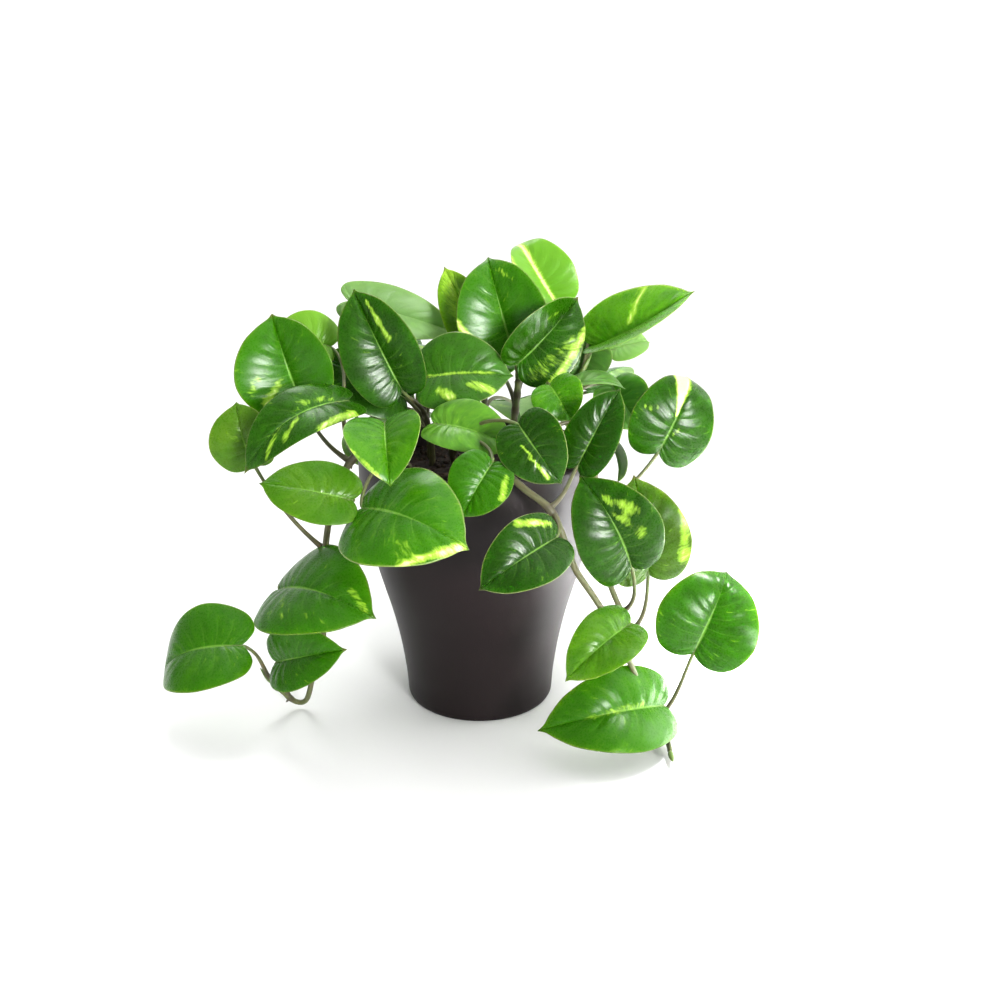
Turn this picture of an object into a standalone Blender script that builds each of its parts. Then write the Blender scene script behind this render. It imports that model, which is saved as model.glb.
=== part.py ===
"""A potted pothos: a flared cover pot, its soil, and leafy shoots and vines that root in the soil.

Metres, +Z up, with the origin in the middle of the pot's flat underside. Heart-shaped blades hang on
petioles, and three vines trail over the rim down to the surface that the pot stands on.
"""
from collections import namedtuple
from math import cos, pi, sin

import bmesh
import bpy
import numpy as np
from mathutils import Vector

COLLECTION_NAME = "potted_pothos"

# The pot is turned about Z: its outer radius at a height, from the foot up to the rim's bead.
POT_HEIGHT = 0.162
POT_WALL = 0.004
POT_FLOOR = 0.005
POT_SIDES = 40
POT_OUTLINE = (
    (0.0445, 0.0),
    (0.0465, 0.002),
    (0.0477, 0.017),
    (0.0509, 0.039),
    (0.0555, 0.060),
    (0.0603, 0.077),
    (0.0650, 0.095),
    (0.0710, 0.125),
    (0.0728, 0.141),
    (0.0730, 0.160),
)
RIM_STEPS = 4

# The soil fills the pot to just under the rim, clear of the wall by a running gap.
GAP = 0.0003
SOIL_TOP = 0.150
SOIL_EDGE_DROP = 0.002
ROOT_DEPTH = 0.024
HOLE_CLEARANCE = 0.0004
HOLE_SIDES = 12

# Stems and petioles are round and taper towards their tips.
STEM_STEPS_PER_SPAN = 2
STEM_SIDES = 6
STEM_TIP_SHARE = 0.7
PETIOLE_STEPS = 4
PETIOLE_SIDES = 4
PETIOLE_RADII = (0.0015, 0.0010)
PETIOLE_INTO_BLADE = 0.004

# The right half of a blade's edge, from the notch round the lobe to the tip, for a blade one long and
# one wide. Its midrib runs along X from the notch at 0 to the tip at 1.
BLADE_OUTLINE = (
    (0.0, 0.0),
    (-0.05, 0.06),
    (-0.10, 0.19),
    (-0.05, 0.35),
    (0.12, 0.46),
    (0.34, 0.50),
    (0.58, 0.44),
    (0.79, 0.31),
    (0.93, 0.15),
    (1.0, 0.0),
)
BLADE_ROWS = 6
BLADE_STRIPS = 2
BLADE_THICKNESS = 0.0008
MIDRIB_EASE = 1.5

# root is where a stem enters the soil and route its points above the soil. A leaf leaves the stem at
# the route's point number `at`, its petiole meets the blade at attach, and the blade's upper side looks
# towards faces. arch lifts the midrib, fold raises both halves and bow bends the blade sideways.
Leaf = namedtuple("Leaf", "at attach tip faces width arch fold bow", defaults=(0.1, 0.2, 0.0))
Stem = namedtuple("Stem", "root radius route leaves")

STEMS = {
    "vine_left": Stem(
        root=(-0.042, -0.020),
        radius=0.0022,
        route=(
            (-0.042, -0.020, 0.157),
            (-0.056, -0.032, 0.167),
            (-0.068, -0.044, 0.169),
            (-0.074, -0.055, 0.162),
            (-0.079, -0.060, 0.148),
            (-0.084, -0.058, 0.131),
            (-0.088, -0.052, 0.109),
            (-0.091, -0.048, 0.082),
            (-0.093, -0.045, 0.056),
            (-0.102, -0.038, 0.027),
            (-0.108, -0.032, 0.008),
            (-0.115, -0.030, 0.005),
            (-0.121, -0.034, 0.013),
            (-0.128, -0.038, 0.024),
        ),
        leaves=(
            Leaf(2.0, (-0.088, 0.006, 0.223), (-0.125, 0.012, 0.227), (0.0, -0.8, 0.6), 0.036),
            Leaf(2.4, (-0.104, -0.014, 0.195), (-0.119, -0.006, 0.243), (-0.1, -1, 0.3), 0.058, 0.1, 0.35),
            Leaf(1.7, (-0.073, -0.040, 0.200), (-0.126, -0.066, 0.167), (-1, -8, 7), 0.035, 0.2, 0.1, -0.03),
            Leaf(5.7, (-0.128, -0.040, 0.164), (-0.137, -0.032, 0.197), (-0.3, -0.9, 0.4), 0.041),
            Leaf(3.7, (-0.066, -0.084, 0.156), (-0.113, -0.086, 0.166), (0.0, -0.8, 0.7), 0.036, 0.05, 0.0),
            Leaf(6.0, (-0.113, -0.064, 0.096), (-0.055, -0.100, 0.096), (0.0, -0.6, 0.8), 0.062, 0.15, 0.0),
            Leaf(11.6, (-0.120, -0.052, 0.044), (-0.076, -0.072, 0.062), (0.1, -0.9, 0.5), 0.038, 0.1, 0.35),
            Leaf(13.0, (-0.141, -0.050, 0.054), (-0.195, -0.034, 0.028), (-0.4, -0.6, 0.7), 0.057, 0.2, 0.1),
        ),
    ),
    "shoot_rim_left": Stem(
        root=(-0.043, -0.038),
        radius=0.0020,
        route=((-0.043, -0.038, 0.158), (-0.046, -0.046, 0.169), (-0.047, -0.053, 0.178)),
        leaves=(
            Leaf(2.0, (-0.048, -0.074, 0.195), (-0.043, -0.102, 0.170), (0.0, -1, 0.5), 0.040, 0.1, 0.25),
            Leaf(1.0, (-0.060, -0.086, 0.152), (-0.004, -0.118, 0.142), (0.0, -0.7, 0.7), 0.064, 0.15, -0.1),
        ),
    ),
    "shoot_left": Stem(
        root=(-0.029, 0.008),
        radius=0.0022,
        route=((-0.029, 0.008, 0.158), (-0.030, 0.006, 0.170), (-0.033, 0.004, 0.184)),
        leaves=(
            Leaf(2.0, (-0.031, -0.008, 0.207), (0.020, -0.012, 0.209), (0.0, -0.85, 0.55), 0.048, 0.1),
            Leaf(1.8, (-0.044, -0.018, 0.202), (-0.071, -0.006, 0.257), (-0.2, -1, 0.25), 0.046, 0.12, 0.25),
            Leaf(1.2, (-0.045, 0.006, 0.192), (-0.095, 0.012, 0.215), (0.0, -1, 0.5), 0.042),
            Leaf(1.6, (-0.024, 0.026, 0.204), (-0.032, 0.064, 0.214), (0.0, -0.3, 1), 0.036, 0.12),
        ),
    ),
    "shoot_center": Stem(
        root=(0.020, -0.004),
        radius=0.0026,
        route=(
            (0.020, -0.004, 0.158),
            (0.021, -0.002, 0.176),
            (0.023, 0.000, 0.192),
            (0.024, 0.001, 0.206),
        ),
        leaves=(
            Leaf(2.2, (0.047, 0.035, 0.246), (0.024, 0.050, 0.284), (0.4, -1, 0.2), 0.038, 0.1, 0.3, 0.05),
            Leaf(2.9, (0.021, 0.013, 0.217), (0.005, 0.024, 0.275), (-0.1, -1, 0.2), 0.055, 0.12),
            Leaf(3.0, (0.023, -0.005, 0.214), (0.059, 0.008, 0.251), (0.5, -0.9, 0.1), 0.044, 0.05, 0.5),
            Leaf(1.6, (0.004, 0.028, 0.220), (-0.021, 0.036, 0.266), (-0.3, -1, 0.3), 0.032, 0.05, 0.3),
        ),
    ),
    "shoot_front": Stem(
        root=(-0.014, -0.024),
        radius=0.0020,
        route=((-0.014, -0.024, 0.158), (-0.015, -0.027, 0.167), (-0.016, -0.030, 0.176)),
        leaves=(
            Leaf(1.0, (0.009, -0.079, 0.175), (-0.007, -0.089, 0.148), (-0.3, -1, 0.2), 0.035, 0.1),
            Leaf(2.0, (-0.024, -0.040, 0.187), (0.021, -0.054, 0.176), (0.0, -0.7, 0.7), 0.034, 0.12),
            Leaf(0.6, (0.023, -0.072, 0.194), (0.045, -0.086, 0.166), (-0.1, -1, 0.2), 0.037),
        ),
    ),
    "shoot_right": Stem(
        root=(0.040, -0.004),
        radius=0.0022,
        route=(
            (0.040, -0.004, 0.158),
            (0.045, 0.001, 0.176),
            (0.054, 0.006, 0.194),
            (0.063, 0.009, 0.208),
        ),
        leaves=(
            Leaf(3.0, (0.070, 0.013, 0.222), (0.125, 0.002, 0.256), (-3, -3, 7), 0.052, 0.02, 0.3, -0.06),
            Leaf(1.6, (0.081, 0.010, 0.199), (0.097, -0.002, 0.174), (0.0, -1, 0.3), 0.034),
            Leaf(1.8, (0.049, -0.020, 0.203), (0.084, -0.028, 0.205), (0.0, -0.1, 1), 0.026),
            Leaf(3.0, (0.067, 0.020, 0.222), (0.064, 0.014, 0.197), (-0.2, -1, 0.1), 0.032, 0.1, 0.3),
            Leaf(1.2, (0.041, -0.036, 0.208), (0.053, -0.046, 0.190), (0.0, -1, 0.4), 0.030, 0.1, 0.3),
            Leaf(0.8, (0.072, 0.006, 0.174), (0.088, 0.014, 0.136), (1, 0.1, 0.4), 0.034, 0.12),
        ),
    ),
    "vine_front": Stem(
        root=(0.002, -0.050),
        radius=0.0022,
        route=(
            (0.002, -0.050, 0.157),
            (0.007, -0.063, 0.167),
            (0.015, -0.073, 0.168),
            (0.027, -0.080, 0.160),
            (0.040, -0.084, 0.150),
            (0.048, -0.087, 0.133),
            (0.054, -0.087, 0.117),
            (0.067, -0.084, 0.096),
            (0.081, -0.080, 0.070),
            (0.095, -0.073, 0.037),
            (0.107, -0.068, 0.011),
            (0.111, -0.077, 0.005),
            (0.111, -0.088, 0.004),
        ),
        leaves=(
            Leaf(4.1, (0.042, -0.104, 0.142), (0.003, -0.122, 0.121), (-0.2, -0.9, 0.6), 0.037),
            Leaf(3.9, (0.055, -0.070, 0.171), (0.077, -0.062, 0.211), (0.1, -1, 0.1), 0.030, 0.05),
            Leaf(8.2, (0.085, -0.084, 0.084), (0.049, -0.104, 0.060), (-0.1, -1, 0.8), 0.034, 0.2, 0.25),
            Leaf(10.3, (0.108, -0.072, 0.026), (0.036, -0.092, 0.022), (0.1, -1, 0.8), 0.049, 0.2),
            Leaf(9.8, (0.126, -0.062, 0.055), (0.148, -0.044, 0.101), (0.1, -1, 0.4), 0.060, 0.1, 0.15),
        ),
    ),
    "vine_right": Stem(
        root=(0.044, -0.026),
        radius=0.0022,
        route=(
            (0.045, -0.027, 0.157),
            (0.055, -0.041, 0.167),
            (0.063, -0.052, 0.165),
            (0.068, -0.059, 0.151),
            (0.071, -0.062, 0.126),
            (0.075, -0.062, 0.101),
            (0.083, -0.062, 0.081),
            (0.090, -0.062, 0.066),
        ),
        leaves=(
            Leaf(6.0, (0.084, -0.086, 0.119), (0.056, -0.078, 0.167), (-1, -10, 2), 0.048, 0.1, 0.2, -0.06),
            Leaf(6.8, (0.096, -0.070, 0.108), (0.087, -0.062, 0.162), (0.1, -1, 0.2), 0.049),
            Leaf(3.2, (0.103, -0.042, 0.171), (0.123, -0.030, 0.215), (0.2, -1, 0.3), 0.049, 0.08, 0.15),
        ),
    ),
    "shoot_back_left": Stem(
        root=(-0.032, 0.030),
        radius=0.0022,
        route=((-0.032, 0.030, 0.158), (-0.038, 0.038, 0.172), (-0.044, 0.046, 0.184)),
        leaves=(
            Leaf(2.0, (-0.080, 0.036, 0.246), (-0.016, 0.046, 0.226), (0.0, -1, 0.4), 0.032, 0.05),
            Leaf(1.6, (-0.066, 0.066, 0.196), (-0.112, 0.084, 0.182), (-0.3, 0.6, 1), 0.044, 0.15),
            Leaf(1.2, (-0.043, 0.090, 0.188), (-0.060, 0.134, 0.164), (-0.2, 0.7, 0.8), 0.046, 0.15),
            Leaf(2.0, (-0.050, 0.064, 0.212), (-0.086, 0.098, 0.214), (-0.2, 0.4, 1), 0.042, 0.15),
            Leaf(0.8, (-0.050, 0.084, 0.164), (-0.066, 0.112, 0.130), (-0.3, 1, 0.4), 0.044, 0.12),
            Leaf(1.0, (-0.062, 0.030, 0.182), (-0.112, 0.034, 0.172), (-0.2, 0.0, 1), 0.040, 0.15),
            Leaf(1.6, (-0.066, 0.030, 0.198), (-0.114, 0.034, 0.192), (-0.2, 0.0, 1), 0.034, 0.15),
            Leaf(0.5, (-0.067, 0.038, 0.172), (-0.080, 0.050, 0.136), (-0.9, 0.5, 0.4), 0.034, 0.12),
        ),
    ),
    "shoot_back_right": Stem(
        root=(0.036, 0.026),
        radius=0.0022,
        route=((0.036, 0.026, 0.158), (0.044, 0.036, 0.172), (0.052, 0.046, 0.186)),
        leaves=(
            Leaf(2.0, (0.086, 0.060, 0.212), (0.111, 0.066, 0.216), (0.0, -0.8, 0.8), 0.026),
            Leaf(1.6, (0.072, 0.076, 0.190), (0.100, 0.112, 0.176), (0.3, 0.6, 1), 0.044, 0.15),
            Leaf(1.8, (0.050, 0.084, 0.202), (0.062, 0.130, 0.190), (0.1, 0.6, 1), 0.046, 0.15),
            Leaf(0.8, (0.062, 0.076, 0.166), (0.078, 0.106, 0.134), (0.4, 1, 0.4), 0.044, 0.12),
            Leaf(1.0, (0.070, 0.034, 0.190), (0.116, 0.044, 0.176), (0.3, 0.0, 1), 0.040, 0.12),
            Leaf(1.4, (0.042, 0.034, 0.200), (0.054, 0.068, 0.202), (0.0, -0.3, 1), 0.036, 0.12),
        ),
    ),
    "shoot_back": Stem(
        root=(0.004, 0.034),
        radius=0.0024,
        route=((0.004, 0.034, 0.158), (0.003, 0.042, 0.180), (0.002, 0.048, 0.198)),
        leaves=(
            Leaf(2.0, (-0.004, 0.062, 0.216), (-0.016, 0.100, 0.236), (-0.2, 0.2, 1), 0.042, 0.12),
            Leaf(1.8, (0.013, 0.071, 0.213), (0.025, 0.115, 0.219), (0.2, 0.3, 1), 0.046, 0.15),
            Leaf(1.2, (0.006, 0.082, 0.192), (-0.002, 0.124, 0.176), (-0.1, 0.7, 1), 0.046, 0.15),
            Leaf(0.8, (0.022, 0.084, 0.172), (0.030, 0.116, 0.146), (0.1, 1, 0.5), 0.042, 0.12),
        ),
    ),
    "vine_back": Stem(
        root=(-0.008, 0.052),
        radius=0.0022,
        route=(
            (-0.008, 0.053, 0.157),
            (-0.008, 0.064, 0.167),
            (-0.010, 0.078, 0.168),
            (-0.012, 0.088, 0.156),
            (-0.012, 0.091, 0.136),
            (-0.008, 0.090, 0.110),
            (-0.002, 0.088, 0.084),
            (0.004, 0.090, 0.058),
            (0.004, 0.097, 0.034),
            (0.001, 0.106, 0.014),
            (-0.004, 0.116, 0.005),
        ),
        leaves=(
            Leaf(3.8, (-0.034, 0.098, 0.138), (-0.056, 0.110, 0.106), (-0.2, 1, 0.4), 0.046, 0.12),
            Leaf(4.6, (0.018, 0.101, 0.124), (0.046, 0.114, 0.098), (0.2, 1, 0.5), 0.048, 0.15),
            Leaf(6.0, (-0.024, 0.101, 0.084), (-0.054, 0.114, 0.062), (-0.1, 1, 0.5), 0.044, 0.12),
            Leaf(7.2, (0.028, 0.104, 0.060), (0.056, 0.120, 0.036), (0.1, 1, 0.6), 0.048, 0.15),
            Leaf(9.8, (-0.016, 0.126, 0.026), (-0.048, 0.150, 0.014), (-0.1, 0.5, 1), 0.044, 0.12),
        ),
    ),
}


def clear_scene():
    for item in list(bpy.data.objects):
        bpy.data.objects.remove(item, do_unlink=True)


def new_collection(name):
    collection = bpy.data.collections.new(name)
    bpy.context.scene.collection.children.link(collection)
    return collection


def new_material(name, colour, roughness):
    material = bpy.data.materials.new(name)
    material.use_nodes = True
    principled = material.node_tree.nodes["Principled BSDF"]
    principled.inputs["Base Color"].default_value = (*colour, 1)
    principled.inputs["Roughness"].default_value = roughness
    return material


def new_object(name, data, collection, material=None):
    item = bpy.data.objects.new(name, data)
    collection.objects.link(item)
    if material:
        item.data.materials.append(material)
    return item


def evaluated_mesh(item):
    """The object's mesh with its modifiers, or its curve as a mesh."""
    evaluated = item.evaluated_get(bpy.context.evaluated_depsgraph_get())
    return bpy.data.meshes.new_from_object(evaluated)


def smooth_points(points, numbers):
    """Points of the Catmull-Rom curve through `points`, at fractional point numbers."""
    points = np.array(points, dtype=float)
    ends = (2 * points[:1] - points[1:2], 2 * points[-1:] - points[-2:-1])
    padded = np.concatenate((ends[0], points, ends[1]))
    numbers = np.asarray(numbers, dtype=float)
    first = np.minimum(numbers.astype(int), len(points) - 2)
    part = (numbers - first)[..., None]
    a, b, c, d = (padded[first + step] for step in range(4))
    return b + 0.5 * part * (c - a + part * (2 * a - 5 * b + 4 * c - d + part * (3 * (b - c) + d - a)))


def turned_object(name, profile, collection, material):
    """A profile of (radius, height) points, from the axis round to the axis, turned about Z."""
    mesh = bpy.data.meshes.new(name)
    edges = [(number, number + 1) for number in range(len(profile) - 1)]
    mesh.from_pydata([(radius, 0, height) for radius, height in profile], edges, [])
    item = new_object(name, mesh, collection, material)
    screw = item.modifiers.new("turn", "SCREW")
    screw.steps = screw.render_steps = POT_SIDES
    screw.use_merge_vertices = True
    screw.merge_threshold = 0.00005
    screw.use_smooth_shade = True
    return item


def inner_wall(inset):
    """The pot's inner wall from its rim down to its floor, moved in by `inset`."""
    heights = [height for _, height in POT_OUTLINE[::-2] if height > POT_FLOOR] + [POT_FLOOR]
    radii, levels = zip(*POT_OUTLINE)
    return [(float(np.interp(height, levels, radii)) - POT_WALL - inset, height) for height in heights]


def make_pot(collection):
    bead = POT_WALL / 2
    bead_radius = POT_OUTLINE[-1][0] - bead
    turns = [pi * step / RIM_STEPS for step in range(1, RIM_STEPS)]
    rim = [(bead_radius - bead * cos(turn), POT_HEIGHT - bead + bead * sin(turn)) for turn in turns]
    profile = [(0, POT_FLOOR), *inner_wall(0)[::-1], *rim, *POT_OUTLINE[::-1], (0, 0)]
    glaze = new_material("dark_glaze", (0.018, 0.010, 0.012), 0.35)
    return turned_object("pot", profile, collection, glaze)


def make_soil(collection, cutters):
    """The soil plug, with a plain hole for every stem."""
    top = SOIL_TOP - SOIL_EDGE_DROP
    wall = [(radius, height) for radius, height in inner_wall(GAP) if height < top]
    radii, levels = zip(*inner_wall(GAP)[::-1])
    wall = [(float(np.interp(top, levels, radii)), top)] + wall
    wall[-1] = (wall[-1][0], POT_FLOOR + GAP)
    profile = [(0, SOIL_TOP)] + wall + [(0, POT_FLOOR + GAP)]
    soil = turned_object("soil", profile, collection, new_material("soil", (0.030, 0.017, 0.012), 0.9))
    for name, stem in STEMS.items():
        bottom = SOIL_TOP - ROOT_DEPTH - GAP
        height = 2 * (SOIL_TOP - bottom)
        mesh = bpy.data.meshes.new("hole_" + name)
        cylinder = bmesh.new()
        radius = stem.radius + HOLE_CLEARANCE
        bmesh.ops.create_cone(
            cylinder, cap_ends=True, segments=HOLE_SIDES, radius1=radius, radius2=radius, depth=height
        )
        cylinder.to_mesh(mesh)
        cylinder.free()
        hole = new_object("hole_" + name, mesh, cutters)
        hole.location = (*stem.root, bottom + height / 2)
        hole.hide_render = True
        hole.display_type = "WIRE"
    cut = soil.modifiers.new("stem_holes", "BOOLEAN")
    cut.operation = "DIFFERENCE"
    cut.operand_type = "COLLECTION"
    cut.collection = cutters
    return soil


def tube(name, points, radii, sides, collection):
    """A round bar along the points, as a closed mesh."""
    curve = bpy.data.curves.new(name, "CURVE")
    curve.dimensions = "3D"
    curve.bevel_depth = 1
    curve.bevel_resolution = (sides - 4) // 2
    curve.use_fill_caps = True
    spline = curve.splines.new("POLY")
    spline.points.add(len(points) - 1)
    for point, place, radius in zip(spline.points, points, radii):
        point.co = (*place, 1)
        point.radius = radius
    bar = new_object(name, curve, collection)
    mesh = evaluated_mesh(bar)
    bpy.data.objects.remove(bar)
    shell = bmesh.new()
    shell.from_mesh(mesh)
    bmesh.ops.remove_doubles(shell, verts=shell.verts, dist=0.00001)
    shell.to_mesh(mesh)
    shell.free()
    return new_object(name, mesh, collection)


def make_petiole(name, start, start_direction, leaf, collection):
    """A tapering stalk that leaves the stem upwards and runs into the blade's arched midrib."""
    start, attach = Vector(start), Vector(leaf.attach)
    length, along, _, out = blade_frame(leaf)
    share = PETIOLE_INTO_BLADE / length
    inside = attach + along * PETIOLE_INTO_BLADE + out * (4 * leaf.arch * PETIOLE_INTO_BLADE * (1 - share))
    reach = (attach - start).length
    leaving = (start_direction + (attach - start).normalized() + Vector((0, 0, 0.6))).normalized() * reach
    arriving = ((inside - attach).normalized() + (attach - start).normalized()).normalized() * reach
    points = []
    for step in range(PETIOLE_STEPS + 1):
        t = step / PETIOLE_STEPS
        points.append(
            start * (2 * t**3 - 3 * t**2 + 1)
            + leaving * (t**3 - 2 * t**2 + t)
            + attach * (3 * t**2 - 2 * t**3)
            + arriving * (t**3 - t**2)
        )
    points.append(inside)
    return tube(name, points, np.linspace(*PETIOLE_RADII, len(points)), PETIOLE_SIDES, collection)


def blade_frame(leaf):
    """The blade's length and its directions: along the midrib, to the left and out of its face."""
    along = Vector(leaf.tip) - Vector(leaf.attach)
    length = along.length
    along.normalize()
    out = Vector(leaf.faces)
    out = (out - out.dot(along) * along).normalized()
    return length, along, out.cross(along), out


def blade_sheet(leaf):
    """The blade as a triangle sheet: a fan at the notch, rows across the midrib, a fan at the tip."""
    share = np.linspace(0, 1, BLADE_ROWS + 1)[1:-1]
    edge = smooth_points(BLADE_OUTLINE, share * (len(BLADE_OUTLINE) - 1))
    midrib = np.stack((share**MIDRIB_EASE, np.zeros_like(share)), axis=-1)
    across = np.linspace(-1, 1, 2 * BLADE_STRIPS + 1)
    flat = midrib[:, None] + np.abs(across)[None, :, None] * (edge - midrib)[:, None]
    flat[..., 1] *= np.sign(across)
    flat = np.vstack(((0, 0), flat.reshape(-1, 2), (1, 0)))

    length, *directions = blade_frame(leaf)
    x = flat[:, 0] * length
    y = flat[:, 1] * leaf.width + 4 * leaf.bow * x * (1 - flat[:, 0])
    z = leaf.fold * np.abs(flat[:, 1]) * leaf.width + 4 * leaf.arch * x * (1 - flat[:, 0])
    points = np.stack((x, y, z), axis=-1) @ np.array(directions) + leaf.attach

    columns = len(across)
    tip = len(points) - 1
    last_row = 1 + (len(share) - 1) * columns
    faces = [(0, 1 + column, 2 + column) for column in range(columns - 1)]
    for row_start in range(1, last_row, columns):
        for corner in range(row_start, row_start + columns - 1):
            faces.append((corner, corner + columns, corner + 1))
            faces.append((corner + 1, corner + columns, corner + columns + 1))
    faces += [(last_row + column, tip, last_row + column + 1) for column in range(columns - 1)]
    return points, faces


def make_blade(name, leaf, collection):
    points, faces = blade_sheet(leaf)
    mesh = bpy.data.meshes.new(name)
    mesh.from_pydata(points.tolist(), [], faces)
    sheet = new_object(name, mesh, collection)
    solidify = sheet.modifiers.new("thickness", "SOLIDIFY")
    solidify.thickness = BLADE_THICKNESS
    solidify.offset = 0
    solid = evaluated_mesh(sheet)
    bpy.data.objects.remove(sheet)
    return new_object(name, solid, collection)


def make_leafy_stem(name, stem, collection, material):
    """One stem with its petioles and blades, joined into one body."""
    joined = new_collection("growth_of_" + name)
    x, y = stem.root
    points = ((x, y, SOIL_TOP - ROOT_DEPTH), (x, y, SOIL_TOP), *stem.route)
    buried = len(points) - len(stem.route)
    numbers = np.linspace(0, len(points) - 1, (len(points) - 1) * STEM_STEPS_PER_SPAN + 1)
    path = smooth_points(points, numbers)
    radii = stem.radius * np.linspace(1, STEM_TIP_SHARE, len(path))
    bar = tube(name, path, radii, STEM_SIDES, joined)
    for number, leaf in enumerate(stem.leaves):
        here, ahead = smooth_points(points, (buried + leaf.at - 0.1, buried + leaf.at))
        direction = Vector(ahead - here).normalized()
        make_petiole(f"petiole_{number}", ahead, direction, leaf, joined)
        make_blade(f"blade_{number}", leaf, joined)
    joined.objects.unlink(bar)
    collection.objects.link(bar)
    union = bar.modifiers.new("growth", "BOOLEAN")
    union.operation = "UNION"
    union.operand_type = "COLLECTION"
    union.collection = joined
    union.solver = "MANIFOLD"
    fused = evaluated_mesh(bar)
    bar.modifiers.clear()
    bar.data = fused
    fused.materials.clear()
    fused.materials.append(material)
    fused.shade_smooth()
    for item in list(joined.objects):
        bpy.data.objects.remove(item)
    bpy.data.collections.remove(joined)
    return bar


def main():
    clear_scene()
    collection = new_collection(COLLECTION_NAME)
    cutters = new_collection("cutters")
    make_pot(collection)
    make_soil(collection, cutters)
    green = new_material("leaf_green", (0.07, 0.22, 0.02), 0.3)
    for name, stem in STEMS.items():
        make_leafy_stem(name, stem, collection, green)


main()
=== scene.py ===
from math import pi, radians

import bpy
import numpy as np
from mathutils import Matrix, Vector


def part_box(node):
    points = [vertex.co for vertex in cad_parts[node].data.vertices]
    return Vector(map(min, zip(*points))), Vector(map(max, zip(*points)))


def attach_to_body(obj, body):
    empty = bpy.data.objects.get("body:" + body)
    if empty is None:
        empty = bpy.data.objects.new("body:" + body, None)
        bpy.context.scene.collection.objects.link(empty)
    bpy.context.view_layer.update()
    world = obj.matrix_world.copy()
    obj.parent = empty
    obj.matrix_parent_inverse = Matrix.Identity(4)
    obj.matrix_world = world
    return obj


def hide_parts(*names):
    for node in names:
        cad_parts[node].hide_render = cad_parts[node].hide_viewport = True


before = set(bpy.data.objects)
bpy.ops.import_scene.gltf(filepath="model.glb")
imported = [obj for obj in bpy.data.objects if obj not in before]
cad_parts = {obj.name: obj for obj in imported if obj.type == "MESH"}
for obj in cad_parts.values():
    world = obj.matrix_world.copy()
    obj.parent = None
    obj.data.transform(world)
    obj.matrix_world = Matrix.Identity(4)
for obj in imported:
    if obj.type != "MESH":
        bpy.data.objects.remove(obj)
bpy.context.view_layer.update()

# A potted pothos in metres, +Z up. Leaves and stems follow the frame's leafy stems, with finer shapes.
bpy.context.scene.view_settings.view_transform = "Standard"
bpy.context.scene.view_settings.look = "Medium High Contrast"
randomNumbers = np.random.default_rng(11)


def smoothPoints(points, numbers):
    # Catmull-Rom curve: a cubic through the points, read at fractional point numbers
    points = np.asarray(points, dtype=float)
    padded = np.concatenate((2 * points[:1] - points[1:2], points, 2 * points[-1:] - points[-2:-1]))
    numbers = np.asarray(numbers, dtype=float)
    first = np.clip(numbers.astype(int), 0, len(points) - 2)
    part = (numbers - first)[..., None]
    a, b, c, d = (padded[first + step] for step in range(4))
    return b + 0.5 * part * (c - a + part * (2 * a - 5 * b + 4 * c - d + part * (3 * (b - c) + d - a)))


def unit(vectors):
    # each vector over its length
    return vectors / np.maximum(np.linalg.norm(vectors, axis=-1, keepdims=True), 1e-9)


def smoothStep(low, high, values):
    # 3x^2 - 2x^3 of how far each value is from low to high
    x = np.clip((values - low) / (high - low), 0, 1)
    return x * x * (3 - 2 * x)


def bell(distance, width):
    # e to the power -(distance / width)^2
    return np.exp(-((distance / width) ** 2))


def sideBySide(*parts):
    # numbers and arrays spread to one shape, then stacked in a last axis
    return np.stack(np.broadcast_arrays(*parts), axis=-1)


def roundAngles(sides):
    return np.arange(sides) * 2 * pi / sides


def lengthsAlong(path):
    # distance from the path's start to each of its points
    return np.concatenate(([0], np.cumsum(np.linalg.norm(np.diff(path, axis=0), axis=1))))


def waveNoise(points, seed, size, waves=8):
    # mean of sine waves in random directions, with wavelengths of about `size`
    draws = np.random.default_rng(seed)
    directions = unit(draws.normal(size=(waves, points.shape[-1]))) * draws.uniform(0.7, 1.6, (waves, 1))
    phases = draws.uniform(0, 2 * pi, waves)
    return np.sin(points @ directions.T * 2 * pi / size + phases).mean(axis=-1) * 1.6


def ringSurface(points, **looks):
    # rings of points along a path, closed round each ring; the first and last rings shrink to a pole
    rings, sides = points.shape[:2]
    ids = np.arange(rings * sides).reshape(rings, sides)
    ids[0], ids[-1] = ids[0, 0], ids[-1, 0]
    after = np.roll(ids, -1, axis=1)
    quads = np.stack((ids[1:-2], after[1:-2], after[2:-1], ids[2:-1]), axis=-1).reshape(-1, 4)
    first = np.stack((ids[0], after[1], ids[1]), axis=-1)
    last = np.stack((ids[-2], after[-2], ids[-1]), axis=-1)
    return {"points": points, "quads": quads, "triangles": np.concatenate((first, last)), "looks": looks}


def sheetSurface(upper, lower, **looks):
    # two sheets on one grid that share their side edges; the first and last rows shrink to a pole
    rows, columns = upper.shape[:2]
    top = np.arange(rows * columns).reshape(rows, columns)
    top[0], top[-1] = top[0, 0], top[-1, 0]
    under = top + rows * columns
    under[[0, -1]] = top[[0, -1]]
    under[:, [0, -1]] = top[:, [0, -1]]
    quads, triangles = [], []
    for ids, turn in ((top, -1), (under, 1)):
        corners = (ids[:-1, :-1], ids[1:, :-1], ids[1:, 1:], ids[:-1, 1:])
        quads.append(np.stack(corners[::turn], axis=-1)[1:-1].reshape(-1, 4))
        triangles.append(np.stack((ids[0, 1:], ids[1, :-1], ids[1, 1:])[::turn], axis=-1))
        triangles.append(np.stack((ids[-2, :-1], ids[-1, 1:], ids[-2, 1:])[::turn], axis=-1))
    return {"points": np.stack((upper, lower)), "quads": np.concatenate(quads),
            "triangles": np.concatenate(triangles), "looks": looks}


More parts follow.
